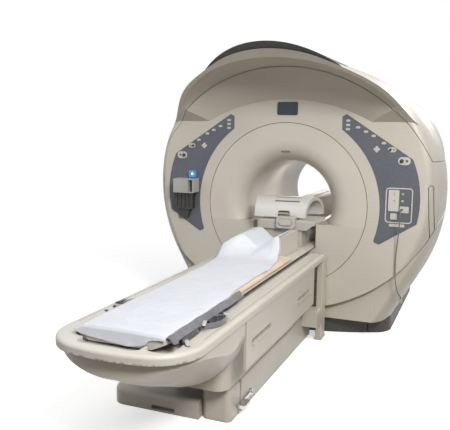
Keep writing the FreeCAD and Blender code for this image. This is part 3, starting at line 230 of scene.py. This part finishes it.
def webbing(name, colour):
    """Woven strap: ribs across it and a herringbone shimmer."""
    s = Shader(name)
    ribs = s.node("ShaderNodeTexWave", {"Vector": s.place, "Scale": 150.0, "Distortion": 0.6, "Detail": 1.0},
                  wave_type="BANDS", bands_direction="Y").outputs["Fac"]
    fibre = s.noise(900.0, 3.0, 0.7)
    tone = s.mix(s.ramp(s.noise(30.0, 4.0), 0.3, 0.7), lift(colour, 0.8), lift(colour, 1.25))
    tone = s.mix(s.math("MULTIPLY", ribs, 0.25), tone, lift(colour, 1.7))
    s.set(Base_Color=tone, Roughness=0.82, Sheen_Weight=0.3, Sheen_Roughness=0.5)
    s.set(Normal=s.bump(ribs, 0.5, 0.0006, s.bump(fibre, 0.3, 0.0003)))
    return s.material


def vinyl(name, colour):
    s = Shader(name)
    cells = s.node("ShaderNodeTexVoronoi", {"Vector": s.place, "Scale": 520.0},
                   feature="DISTANCE_TO_EDGE").outputs["Distance"]
    tone = s.mix(s.ramp(s.noise(6.0, 4.0), 0.3, 0.7), lift(colour, 0.93), lift(colour, 1.05))
    s.set(Base_Color=tone, Roughness=0.52, Sheen_Weight=0.1)
    s.set(Normal=s.bump(s.ramp(cells, 0.0, 0.12), 0.22, 0.0004, s.bump(s.noise(18.0, 4.0), 0.15, 0.003)))
    return s.material


def glass_panel(name, colour, rough=0.12, coat=0.6):
    s = Shader(name)
    tone = s.mix(s.ramp(s.noise(20.0, 2.0), 0.3, 0.7), lift(colour, 0.9), lift(colour, 1.1))
    s.set(Base_Color=tone, Roughness=rough, Coat_Weight=coat, Coat_Roughness=0.06, IOR=1.5)
    s.set(Normal=s.bump(s.noise(300.0, 1.0), 0.03, 0.0002, s.bevel(0.001)))
    return s.material


def glowing(name, colour, strength):
    s = Shader(name)
    core = s.ramp(s.noise(120.0, 2.0), 0.3, 0.7)
    s.set(Base_Color=s.mix(core, lift(colour, 0.8), colour), Roughness=0.2, Coat_Weight=0.5)
    s.set(Emission_Color=(*colour, 1.0), Emission_Strength=strength)
    return s.material


CREAM = (0.560, 0.530, 0.478)
PALE = (0.600, 0.578, 0.535)
SLATE = (0.042, 0.040, 0.037)
BLUE = (0.098, 0.106, 0.134)
# the dark broken line along the table's rim: height, half width and start, in metres
TABLE_DARK_LINE = (0.5505, 0.011, -2.80)

LOOKS = {
    "cream_shell": (moulded, CREAM, {}),
    "ring_shell": (moulded, lift(CREAM, 1.06), {"rough": 0.34, "edge": 0.0}),
    "pale_shell": (moulded, PALE, {"rough": 0.42, "crevice_shade": 0.5, "scuff": 0.25}),
    "deck_shell": (moulded, PALE, {"rough": 0.42, "crevice_shade": 0.5, "scuff": 0.35, "dark_line": TABLE_DARK_LINE}),
    "nose_skin": (moulded, CREAM, {"crevice_shade": 0.5, "scuff": 0.25, "dark_line": TABLE_DARK_LINE}),
    "slate_shell": (textured, SLATE, {"rough": 0.5, "grain": 600.0}),
    "console_blue": (textured, BLUE, {"rough": 0.48, "grain": 1100.0, "depth": 0.2}),
    "key_grey": (moulded, (0.56, 0.54, 0.50), {"rough": 0.5, "edge": 0.001}),
    "knob_black": (textured, (0.025, 0.024, 0.024), {"rough": 0.4}),
    "screen_glass": (glass_panel, (0.012, 0.024, 0.062), {"coat": 0.15}),
    "window_glass": (glass_panel, (0.30, 0.27, 0.20), {"rough": 0.2}),
    "vessel_steel": (metal, (0.55, 0.56, 0.57), {"rough": 0.35, "brushed": (1, 1, 12)}),
    "resin": (textured, (0.36, 0.27, 0.12), {"rough": 0.45}),
    "copper": (metal, (0.72, 0.42, 0.26), {}),
    "box_grey": (textured, (0.40, 0.395, 0.365), {"rough": 0.45, "grain": 800.0, "depth": 0.15}),
    "lamp_glass": (glowing, (0.06, 0.26, 0.62), {"strength": 0.22}),
    # painted highlight: the glowing white centre of the call lamp
    "lamp_core": (glowing, (0.80, 0.92, 1.0), {"strength": 0.9}),
    "lead_rubber": (textured, (0.16, 0.155, 0.15), {"rough": 0.5}),
    # painted shadow: the colour of the dark strip in the ring's seam
    "seal_brown": (textured, (0.060, 0.048, 0.034), {}),
    "bright_steel": (metal, (0.66, 0.66, 0.67), {"rough": 0.22}),
    "cast_grey": (textured, (0.20, 0.20, 0.20), {"rough": 0.55}),
    "strap_web": (webbing, (0.150, 0.148, 0.165), {}),
    "strap_dark": (webbing, (0.032, 0.031, 0.036), {}),
    "buckle_grey": (moulded, (0.50, 0.50, 0.50), {"rough": 0.35, "edge": 0.0006}),
    "pad_vinyl": (vinyl, (0.80, 0.63, 0.50), {}),
    "sheet_cloth": (cloth, (0.70, 0.725, 0.79), {}),
    "coil_grey": (moulded, (0.46, 0.445, 0.41), {"rough": 0.45, "edge": 0.002}),
    "coil_white": (moulded, (0.60, 0.59, 0.575), {"rough": 0.4, "edge": 0.002, "mottle": 0.03, "crevice_shade": 0.6}),
}
MATERIALS = {name: make(name, colour, **settings) for name, (make, colour, settings) in LOOKS.items()}
# nodes that look different from their slot's material
REPAINTED = {"table_deck": "deck_shell", "nose_shell": "nose_skin", "head_box": "pale_shell"}


def paint(piece, material):
    piece.data.materials.clear()
    piece.data.materials.append(material)


for node_name, node in NODES.items():
    current = node.data.materials[0].name.split(".")[0] if node.data.materials else "cream_shell"
    paint(node, MATERIALS.get(current, MATERIALS["cream_shell"]))
for node_name, look in REPAINTED.items():
    paint(NODES[node_name], MATERIALS[look])


# ---------------------------------------------------------------- stage
def seen_directly(tree):
    """1 for camera, glossy and transmission rays."""
    path = tree.nodes.new("ShaderNodeLightPath")
    total = path.outputs["Is Camera Ray"]
    for kind in ("Is Glossy Ray", "Is Transmission Ray"):
        add = tree.nodes.new("ShaderNodeMath")
        add.operation = "ADD"
        add.use_clamp = True
        tree.links.new(total, add.inputs[0])
        tree.links.new(path.outputs[kind], add.inputs[1])
        total = add.outputs[0]
    return total


FLOOR_HALF = 30.0               # metres
FLOOR_GLOW = 0.52
FADE_CENTRE = (0.0, -0.8, 0.0)
FADE_START, FADE_END = 1.6, 3.6     # the floor turns to plain white between these distances, in metres


def make_stage():
    """Floor: white to the camera, tan to the other rays, so that it throws a warm light up onto the part."""
    mesh = bpy.data.meshes.new("floor")
    build = bmesh.new()
    build.faces.new([build.verts.new((x * FLOOR_HALF, y * FLOOR_HALF, 0))
                     for x, y in ((-1, -1), (1, -1), (1, 1), (-1, 1))])
    build.to_mesh(mesh)
    build.free()
    floor = bpy.data.objects.new("floor", mesh)
    SCENE.collection.objects.link(floor)
    s = Shader("floor_paint")
    white_floor = s.mix(s.ramp(s.noise(1.5, 3.0), 0.3, 0.7), (0.90, 0.90, 0.90), (0.93, 0.93, 0.93))
    tan_floor = s.mix(s.ramp(s.noise(1.5, 3.0), 0.3, 0.7), (0.15, 0.120, 0.075), (0.18, 0.145, 0.095))
    seen = seen_directly(s.tree)
    s.set(Base_Color=s.mix(seen, tan_floor, white_floor), Roughness=0.9, Emission_Color=(1, 1, 1, 1))
    s.set(Emission_Strength=s.math("MULTIPLY", seen, FLOOR_GLOW))
    far = s.node("ShaderNodeVectorMath", {0: s.place, 1: FADE_CENTRE}, operation="DISTANCE").outputs["Value"]
    fade = s.math("MULTIPLY", s.ramp(far, FADE_START, FADE_END), seen)
    white = s.node("ShaderNodeEmission", {"Color": (1, 1, 1, 1), "Strength": 1.0}).outputs[0]
    blend = s.node("ShaderNodeMixShader", {0: fade, 1: s.bsdf.outputs[0], 2: white})
    s.tree.links.new(blend.outputs[0], s.out.inputs[0])
    paint(floor, s.material)


def background(tree, colour, strength):
    shader = tree.nodes.new("ShaderNodeBackground")
    shader.inputs["Color"].default_value = colour
    shader.inputs["Strength"].default_value = strength
    return shader.outputs[0]


def make_world():
    """White to the eye, a weak cool light to the surfaces."""
    world = bpy.data.worlds.new("studio")
    world.use_nodes = True
    tree = world.node_tree
    tree.nodes.clear()
    out = tree.nodes.new("ShaderNodeOutputWorld")
    mix = tree.nodes.new("ShaderNodeMixShader")
    tree.links.new(seen_directly(tree), mix.inputs[0])
    tree.links.new(background(tree, (0.95, 0.97, 1.0, 1), 0.18), mix.inputs[1])
    tree.links.new(background(tree, (1, 1, 1, 1), 1.0), mix.inputs[2])
    tree.links.new(mix.outputs[0], out.inputs[0])
    SCENE.world = world


def area_light(name, place, target, size, power, colour):
    """place, target and size are in metres, power in watts."""
    data = bpy.data.lights.new(name, "AREA")
    data.shape = "RECTANGLE"
    data.size, data.size_y = size
    data.energy = power
    data.color = colour
    light = bpy.data.objects.new(name, data)
    SCENE.collection.objects.link(light)
    light.location = place
    aim = Vector(target) - Vector(place)
    light.rotation_mode = "QUATERNION"
    light.rotation_quaternion = aim.to_track_quat("-Z", "Y")
    light.visible_camera = False


make_stage()
make_world()
area_light("key", (3.0, -4.9, 3.9), (0, -0.9, 0.9), (1.5, 1.5), 262.0, (1.0, 0.985, 0.95))
area_light("top", (0.2, -2.6, 4.6), (0, -1.5, 0.6), (3.0, 2.5), 62.0, (1.0, 0.98, 0.95))
area_light("rear", (2.2, 4.6, 3.6), (0, 0.4, 0.9), (2.5, 2.5), 75.0, (0.97, 0.98, 1.0))
area_light("bore_lamp", (0, -0.15, 1.14), (0.05, -0.15, 0.8), (0.18, 1.0), 4.5, (1.0, 0.96, 0.88))
area_light("fill", (-3.8, -4.0, 2.6), (0, -0.9, 0.8), (2.5, 2.5), 26.0, (0.95, 0.97, 1.0))


# ---------------------------------------------------------------- shapes
def ring_point(p):
    """The point in the part's frame, from millimetres about the ring's centre."""
    return RING + Vector(p) / 1000.0


def mesh_piece(name, points, faces, look, body):
    mesh = bpy.data.meshes.new(name)
    mesh.from_pydata([tuple(ring_point(p)) for p in points], [], faces)
    build = bmesh.new()
    build.from_mesh(mesh)
    bmesh.ops.recalc_face_normals(build, faces=build.faces[:])
    build.to_mesh(mesh)
    build.free()
    for face in mesh.polygons:
        face.use_smooth = True
    piece = bpy.data.objects.new(name, mesh)
    SCENE.collection.objects.link(piece)
    paint(piece, MATERIALS[look])
    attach(piece, body)
    return piece


def grid_faces(rows, columns, offset=0, flip=False):
    faces = []
    for i in range(rows - 1):
        for j in range(columns - 1):
            a = offset + i * columns + j
            quad = (a, a + 1, a + columns + 1, a + columns)
            faces.append(quad[::-1] if flip else quad)
    return faces


def tube_faces(rings, count):
    """Faces of a tube with closed ends, made of rings of count points each."""
    faces = []
    for i in range(rings - 1):
        for k in range(count):
            m = (k + 1) % count
            faces.append((i * count + k, i * count + m, (i + 1) * count + m, (i + 1) * count + k))
    faces.append(tuple(range(count)))
    faces.append(tuple(range((rings - 1) * count, rings * count)))
    return faces


def circle(count):
    """Cosine and sine at count even steps round a circle."""
    turns = [2 * math.pi * k / count for k in range(count)]
    return [(math.cos(t), math.sin(t)) for t in turns]


def unit_normals(across, along):
    normal = np.cross(across, along)
    return normal / np.maximum(np.linalg.norm(normal, axis=2, keepdims=True), 1e-9)


def slab(rows, thickness):
    """Closed skin of even thickness over a grid of points (rows x columns x 3)."""
    rows = np.asarray(rows, float)
    normal = unit_normals(np.gradient(rows, axis=1), np.gradient(rows, axis=0))
    count, wide = rows.shape[:2]
    points = np.concatenate([(rows + normal * thickness / 2).reshape(-1, 3),
                             (rows - normal * thickness / 2).reshape(-1, 3)])
    half = count * wide
    faces = grid_faces(count, wide) + grid_faces(count, wide, half, True)
    rim = list(range(wide)) + [i * wide + wide - 1 for i in range(1, count)]
    rim += [(count - 1) * wide + j for j in range(wide - 2, -1, -1)]
    rim += [i * wide for i in range(count - 2, 0, -1)]
    for a, b in zip(rim, rim[1:] + rim[:1]):
        faces.append((b, a, a + half, b + half))
    return points.tolist(), faces


def spline(stations):
    """Smooth line through stations, each a flat array of numbers."""
    parts = 6
    q = np.asarray(stations, float)
    q = np.vstack([2 * q[0] - q[1], q, 2 * q[-1] - q[-2]])
    out = []
    for i in range(1, len(q) - 2):
        for t in np.arange(parts) / parts:
            a, b, c, d = q[i - 1:i + 3]
            out.append(0.5 * (2 * b + (c - a) * t + (2 * a - 5 * b + 4 * c - d) * t * t
                              + (3 * b - a - 3 * c + d) * t ** 3))
    out.append(q[-2])
    return np.array(out)


WEB_THICK, WEB_COLUMNS = 1.9, 7


def ribbon(name, edges, look, body, bulge=1.5):
    """Webbing between two edge lines; edges is a list of (x, y, z, x, y, z)."""
    lines = spline(edges)
    share = np.linspace(0, 1, WEB_COLUMNS)[None, :, None]
    first, second = lines[:, None, :3], lines[:, None, 3:]
    rows = first * (1 - share) + second * share
    normal = unit_normals(second - first, np.gradient((first + second) / 2, axis=0))
    rows = rows + normal * bulge * (1 - (2 * share - 1) ** 2)
    points, faces = slab(rows, WEB_THICK)
    return mesh_piece(name, points, faces, look, body)


def plate(name, centre, along, size, look, body):
    """Small moulded tab with a rounded outline and softened rims."""
    a = Vector(along).normalized()
    b = Vector((-a.y, a.x, 0)).normalized()
    up = a.cross(b)
    length, width, thick = size
    rims, count, squareness = ((0.90, -0.5), (1.0, -0.25), (1.0, 0.25), (0.90, 0.5)), 32, 0.45
    points = []
    for grow, level in rims:
        for c, s in circle(count):
            u = math.copysign(abs(c) ** squareness, c) * length / 2 * grow
            v = math.copysign(abs(s) ** squareness, s) * width / 2 * grow
            points.append(Vector(centre) + a * u + b * v + up * thick * level)
    return mesh_piece(name, points, tube_faces(len(rims), count), look, body)


def turned(name, start, profile, look, body):
    """Solid of revolution about the Y direction; profile is (distance towards -Y, radius)."""
    count = 20
    points = [(start[0] + radius * c, start[1] - along, start[2] + radius * s)
              for along, radius in profile for c, s in circle(count)]
    return mesh_piece(name, points, tube_faces(len(profile), count), look, body)


def smooth(t):
    t = min(1.0, max(0.0, t))
    return t * t * (3 - 2 * t)


def rough(x, y, z=0.0):
    """Fixed unevenness, about -1 to 1; z picks another pattern."""
    return noise.fractal(Vector((x, y, z)), 0.9, 2.0, 4)


# ---------------------------------------------------------------- pad
PAD_FOOT, PAD_HEAD = -2071.0, -505.0
PAD_END_R = 12.0                # rounding of the two ends
PAD_MIDDLE, PAD_BASE = -258.0, -265.7
PAD_CROWN, PAD_HALF = -242.0, 206.0
FALL_X, FALL_RUN, FALL_DEPTH = -158.0, 34.0, 15.5       # the worn left edge: where it starts, its run and depth
WELT_R, WELT_X, WELT_Z = 2.2, 206.6, -253.0
# the right side, from the top's edge down to the base
PAD_SIDE = [(204.0, -250.8), (207.6, -254.4), (209.0, -258.2), (207.6, -262.6), (203.0, PAD_BASE)]


def pad_top(x):
    """The pad's crown and the drop at its edges."""
    t = abs(x) / PAD_HALF
    return PAD_CROWN - 5.0 * t * t - 4.0 * t ** 16


def left_fall(x):
    """The pad's left edge is worn thin, and the sheet goes down over it."""
    return FALL_DEPTH * smooth((FALL_X - x) / FALL_RUN)


def worn(y):
    """How much of the thin left edge there is: none at the head support, all of it from y -900 on."""
    return smooth((-600.0 - y) / 300.0)


def make_pad():
    """Stuffed vinyl form, seen at the right edge of the sheet."""
    section = [(x, pad_top(x) - 0.7) for x in np.linspace(-198, 198, 45)] + PAD_SIDE
    section += [(x, PAD_BASE) for x in np.linspace(190, -190, 12)]
    section += [(-x, z) for x, z in PAD_SIDE[::-1]]
    stations = [PAD_FOOT + PAD_END_R * (1 - math.cos(t)) for t in np.linspace(0.15, math.pi / 2, 7)]
    stations += list(np.linspace(PAD_FOOT + 20, PAD_HEAD - 20, 150))
    stations += [PAD_HEAD - PAD_END_R * (1 - math.cos(t)) for t in np.linspace(math.pi / 2, 0.15, 7)]
    points = []
    for y in stations:
        edge = min(y - PAD_FOOT, PAD_HEAD - y) / PAD_END_R
        full = 1.0 if edge >= 1 else math.sqrt(max(0.0, 1 - (1 - edge) ** 2))
        for x, z in section:
            uneven = 0.5 * rough(x / 70, y / 70, 2.0) if z > -256 else 0.0
            height = PAD_MIDDLE + (z - PAD_MIDDLE) * (0.25 + 0.75 * full) + uneven * full
            if z > -265:
                height = max(height - worn(y) * left_fall(x), -265.4)
            inward = x if x > -160 else x + 0.5 * worn(y) * (-160 - x)
            points.append((inward * (1 - 0.02 * (1 - full)), y, height))
    return mesh_piece("pad", points, tube_faces(len(stations), len(section)), "pad_vinyl", "tabletop_body")


def make_welt():
    """Piping along the right edge of the pad."""
    count = 10
    points = []
    ys = np.linspace(-2062, -514, 160)
    for y in ys:
        x = WELT_X + 0.5 * rough(1, y / 60, 5.0)
        points += [(x + WELT_R * c, y, WELT_Z + WELT_R * s) for c, s in circle(count)]
    return mesh_piece("pad_welt_right", points, tube_faces(len(ys), count), "pad_vinyl", "tabletop_body")


# ---------------------------------------------------------------- sheet
# rows of (y, left edge, right edge)
SHEET_EDGES = [(-2101, -204, 204), (-1900, -203, 205), (-1500, -203, 204), (-1390, -203, 193),
               (-1080, -204, 186), (-910, -206, 197), (-690, -212, 174), (-576, -214, 152),
               (-506, -131, 126), (-340, -127, 118), (-177, -123, 108)]
# the hem over the foot: (x, z)
HEM = [(-205, -266), (-190, -276), (-171, -282), (-100, -290), (-34, -298), (42, -303), (100, -296),
       (117, -288), (129, -271), (145, -265), (205, -260)]
HANG_Y, HANG_TOP = -2100.4, -254.5      # where the hanging part ends and the turn onto the pad begins
CLIMB_Y, SCOOP_Y = -700.0, -506.0       # where the sheet starts to climb, and where it lies in the scoop
PULL_Y = -585                           # middle of the pull folds
SCOOP_RIM, SCOOP_DEPTH, SCOOP_HALF = -136.0, 70.0, 114.0
TURN_R = 7                              # of the turn at the foot, along the pad
CLOTH_THICK = 1.1
CLOTH_GAP, CLOTH_LOWEST = 2.6, -263.0   # over the pad, and the lowest that the laid part gets
SHARES = np.linspace(0, 1, 96)


def scoop_top(x):
    """The head support's hollow."""
    return SCOOP_RIM - SCOOP_DEPTH * (0.5 + 0.5 * math.cos(math.pi * min(abs(x) / SCOOP_HALF, 1.0)))


def wrinkle(x, y):
    """Height of the cloth above its lowest lie, in mm: crumple, press creases, pull folds, slack at the right."""
    crumple = 1.5 + 1.7 * rough(x / 85, y / 85) + 0.8 * rough(x / 30, y / 36, 4.0)
    creases = 0.0
    for line in (-74, 66):
        creases += 0.8 * math.exp(-((x - line - 3 * rough(line, y / 200)) / 4.0) ** 2)
    for line in range(-1960, -600, 290):
        creases += 0.7 * math.exp(-((y - line - 3 * rough(x / 200, line)) / 4.5) ** 2)
    pull = math.exp(-((y - PULL_Y) / 75.0) ** 2)
    turn = x / 15.0 + 0.012 * (y - PULL_Y) * math.copysign(1, x) + 1.6 * rough(x / 60, 0)
    folds = 3.2 * pull * (0.5 + 0.5 * math.sin(turn))
    ripple = max(0.0, math.sin(y / 58.0 + x / 30.0 + rough(x / 90, y / 150)))
    slack = 1.6 * math.exp(-((x - 150) / 55.0) ** 2) * ripple
    return max(0.0, crumple + creases + folds + slack)


def hanging_rows(left, right):
    """The part over the foot from its hem up, then the turn onto the pad."""
    xs = [left + (right - left) * u for u in SHARES]
    rows = []
    for step in range(12):
        drop = step / 11.0
        line = []
        for x in xs:
            hem = np.interp(x, *zip(*HEM)) + 1.2 * rough(x / 40, 8.0)
            z = hem + (HANG_TOP - 0.6 * left_fall(x) - hem) * drop
            swing = 1.6 * math.sin(x / 23.0 + 1.2 * rough(x / 80, 3.0)) * (1 - drop)
            line.append((x, HANG_Y - max(0.0, swing), z))
        rows.append(line)
    for turn in (0.25, 0.5, 0.75):
        forward, up = 1 - math.cos(turn * math.pi / 2), math.sin(turn * math.pi / 2)
        line = []
        for x in xs:
            top = pad_top(min(abs(x), PAD_HALF)) - 0.4 * left_fall(x) - 1.0
            line.append((x, HANG_Y + TURN_R * forward, HANG_TOP - left_fall(x) * 0.6 + (top - HANG_TOP) * up))
        rows.append(line)
    return rows


def laid_row(y, left, right):
    """One row on the pad, on the climb or in the scoop."""
    t = min(1.0, max(0.0, (y - CLIMB_Y) / (SCOOP_Y - CLIMB_Y)))
    share = 0.75 * t ** 1.7 + 0.25 * smooth(t)
    settle = min(1.0, (y + 2100) / 40.0)
    line = []
    for u in SHARES:
        x = left + (right - left) * u
        if t <= 0:
            base = pad_top(x)
        elif t >= 1:
            base = scoop_top(x)
        else:
            base = pad_top(-214 + 366 * u) * (1 - share) + scoop_top(-131 + 257 * u) * share
        z = base + CLOTH_GAP + wrinkle(x, y) * settle
        z -= left_fall(x) * worn(y)
        line.append((x, y, max(z, CLOTH_LOWEST)))
    return line


def sheet_rows():
    ys, lefts, rights = (np.array(column, float) for column in zip(*SHEET_EDGES))
    rows = hanging_rows(lefts[0], rights[0])
    for y in np.concatenate([np.linspace(-2096, -640, 205), np.linspace(-634, -500, 42),
                             np.linspace(-494, -178, 44)]):
        left = np.interp(y, ys, lefts)
        right = np.interp(y, ys, rights) + 2.5 * rough(y / 120, 1.0)
        if y > SCOOP_Y:
            right = min(right, 128.0)
        rows.append(laid_row(y, left, right))
    return rows


# ---------------------------------------------------------------- trim and soft pieces
SEAM_R = 557.5                  # middle of the seam round the ring
LEDGE_Z = -121.2                # just over the ledge
LOOP_FOOT = -289.0              # lower edge of the strap loops, on the deck


def make_seam_shadow():
    """Dark strip in the seam between the ring and the front cover: a painted shadow in the seam's gap."""
    half, count = 2.4, 192
    section = ((-half, 1.0), (-half * 0.7, -0.35), (half * 0.7, -0.35), (half, 1.0))
    points = [((SEAM_R + off) * c, y, (SEAM_R + off) * s) for c, s in circle(count) for off, y in section]
    faces = []
    for k in range(count):
        m = (k + 1) % count
        for i in range(4):
            j = (i + 1) % 4
            faces.append((k * 4 + i, k * 4 + j, m * 4 + j, m * 4 + i))
    return mesh_piece("ring_gasket", points, faces, "seal_brown", "gantry")


make_seam_shadow()
# dark strips painted as the shade inside the gaps in the ledge
for side, middle, run, length in (("left", (-317, 66), (0.89, 0.45, 0), 108),
                                  ("right", (300, 73), (0.95, 0.31, 0), 150)):
    plate(f"ledge_slot_{side}", (*middle, LEDGE_Z), run, (length, 17, 1.2), "knob_black", "gantry")
# painted highlight: a glowing white dome at the call lamp's centre, standing for a reflected light
turned("call_lens", (-688, -23, 190), [(-2, 10), (0.4, 10), (1.8, 8), (2.8, 5), (3.2, 1.5)],
       "lamp_core", "gantry")
pad = make_pad()
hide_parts("mattress")
make_welt()

cloth_rows = sheet_rows()
cloth_points, cloth_faces = slab(cloth_rows, CLOTH_THICK)
bed_cloth = mesh_piece("bed_cloth", cloth_points, cloth_faces, "sheet_cloth", "tabletop_body")
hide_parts("bed_sheet")


def slanted(y):
    """The body strap's two edges at y: it leans on the pad's side with a slow wave."""
    wave = 3.4 * math.sin(y / 31.0) * math.exp(-((y + 1720) / 300.0) ** 2) + 2.5 * rough(y / 70, 7.0)
    rise = 2.2 * math.sin(y / 38.0 + 1.0) + 1.5 * rough(y / 45, 9.0)
    return (209.5 + wave, y, -244.0 + rise, 231.5 + 0.5 * wave, y - 4, -270.0 + 0.4 * rise)


def upright(path, height, lean):
    """Edge lines of a strap standing on its edge along a path of (x, y)."""
    return [(x + lean, y, LOOP_FOOT + height, x, y, LOOP_FOOT) for x, y in path]


band_edges = [slanted(y) for y in np.arange(-1366, -2066, -46)]
band_edges += [slanted(-2082), (212, -2090, -246, 232, -2091, -271), (217, -2084, -249, 236, -2085, -273),
               (218, -2056, -250, 238, -2057, -275)]
band = ribbon("strap_band", band_edges, "strap_web", "tabletop_body")
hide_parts("strap_right")

RIGHT_STRAPS = [
    ("strap_loop", "strap_web", 0.6,
     upright([(231, -1716), (246, -1692), (266, -1684), (283, -1704), (287, -1746), (280, -1788),
              (262, -1816), (243, -1834), (236, -1868)], 23, -3)),
    ("strap_loop_inner", "strap_dark", 0.6,
     upright([(234, -1868), (240, -1830), (254, -1800), (262, -1768), (256, -1738), (243, -1722),
              (233, -1736)], 18, 3)),
    ("strap_bunch", "strap_dark", 2.0,
     [(233, -1652, -266, 240, -1664, -286), (248, -1664, -258, 256, -1672, -282),
      (262, -1690, -262, 266, -1694, -284), (252, -1716, -264, 258, -1722, -286),
      (238, -1738, -262, 242, -1742, -284), (233, -1772, -266, 238, -1776, -286)]),
    ("strap_tail", "strap_dark", 2.0,
     [(232, -1880, -270, 240, -1880, -288.5), (234, -1930, -270, 243, -1930, -288.5),
      (233, -1980, -269, 243, -1980, -288.5), (236, -2030, -272, 246, -2030, -288.5)]),
]
for name, look, bulge, edges in RIGHT_STRAPS:
    ribbon(name, edges, look, "tabletop_body", bulge)
for name, centre, along, size in (("strap_tab_far", (260, -1662, -270), (0.85, -0.5, -0.05), (50, 18, 4.0)),
                                  ("strap_buckle", (241, -1838, -262), (0.30, -0.95, -0.10), (54, 17, 4.0)),
                                  ("strap_tab_near", (254, -2022, -282), (0.55, -0.8, -0.05), (62, 18, 3.0))):
    plate(name, centre, along, size, "buckle_grey", "tabletop_body")

left_band = ribbon("strap_left_band",
                   [(-225, -1600, -275, -225, -1660, -276), (-240, -1601, -277, -241, -1662, -278),
                    (-262, -1604, -283, -264, -1664, -284), (-282, -1607, -287, -284, -1667, -287.5),
                    (-288, -1608, -284, -290, -1668, -284.5), (-282, -1608, -280, -284, -1668, -280.5),
                    (-262, -1606, -277, -264, -1666, -277)], "strap_web", "table_body", bulge=0.4)
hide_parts("strap_left")
ribbon("strap_left_slim",
       [(-224, -1676, -280, -230, -1702, -281), (-240, -1682, -284, -246, -1708, -285),
        (-262, -1692, -288, -268, -1718, -288)], "strap_web", "table_body", bulge=0.4)
LEFT_TABS = [
    ("strap_left_end", (-268, -1708, -286.4), (-0.85, -0.35, 0), (14, 26, 4), "strap_dark", "strap_web"),
    ("strap_left_tab", (-246, -1760, -286.6), (-0.62, -0.78, 0), (46, 20, 3.2), "buckle_grey", "key_grey"),
    ("strap_left_tip", (-263, -1782, -286.4), (-0.62, -0.78, 0), (14, 19, 4), "knob_black", "knob_black"),
]
for name, centre, along, size, look, slot in LEFT_TABS:
    plate(name, centre, along, size, look, "table_body")


# ---------------------------------------------------------------- the sensor's lead
SENSOR_EXIT = (776, -36, 15)
SENSOR_ROUTE = [SENSOR_EXIT, (776, -62, 15), (776, -80, -8), (775, -77, -42), (772, -64, -82),
                (768, -48, -126), (764, -34, -174), (758, -24, -226), (754, -18, -282), (752, -15, -340),
                (754, -17, -398), (759, -18, -454), (768, -13, -504), (780, 8, -542), (789, 36, -560),
                (789, 52, -576)]
LEAD_R = 0.0035                 # metres
RELIEF = [(0, 5.4), (2, 5.6), (3, 4.9), (5, 5.4), (6.5, 4.7), (8.5, 5.1), (10, 4.5), (12, 4.8), (14, 4.3),
          (18, 4.1), (20, 3.7)]


def make_lead(name, route, radius, look):
    curve = bpy.data.curves.new(name, "CURVE")
    curve.dimensions = "3D"
    line = curve.splines.new("NURBS")
    line.points.add(len(route) - 1)
    for slot, p in zip(line.points, route):
        slot.co = (*ring_point(p), 1.0)
    line.order_u = 3
    line.use_endpoint_u = True
    line.resolution_u = 8
    curve.bevel_depth = radius
    curve.bevel_resolution = 3
    curve.use_fill_caps = True
    curve.materials.append(MATERIALS[look])
    piece = bpy.data.objects.new(name, curve)
    SCENE.collection.objects.link(piece)
    return piece


sensor = make_lead("lead_sensor", SENSOR_ROUTE, LEAD_R, "lead_rubber")
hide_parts("sensor_lead")
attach(sensor, "gantry")
relief = turned("sensor_relief", SENSOR_EXIT, RELIEF, "lead_rubber", "gantry")
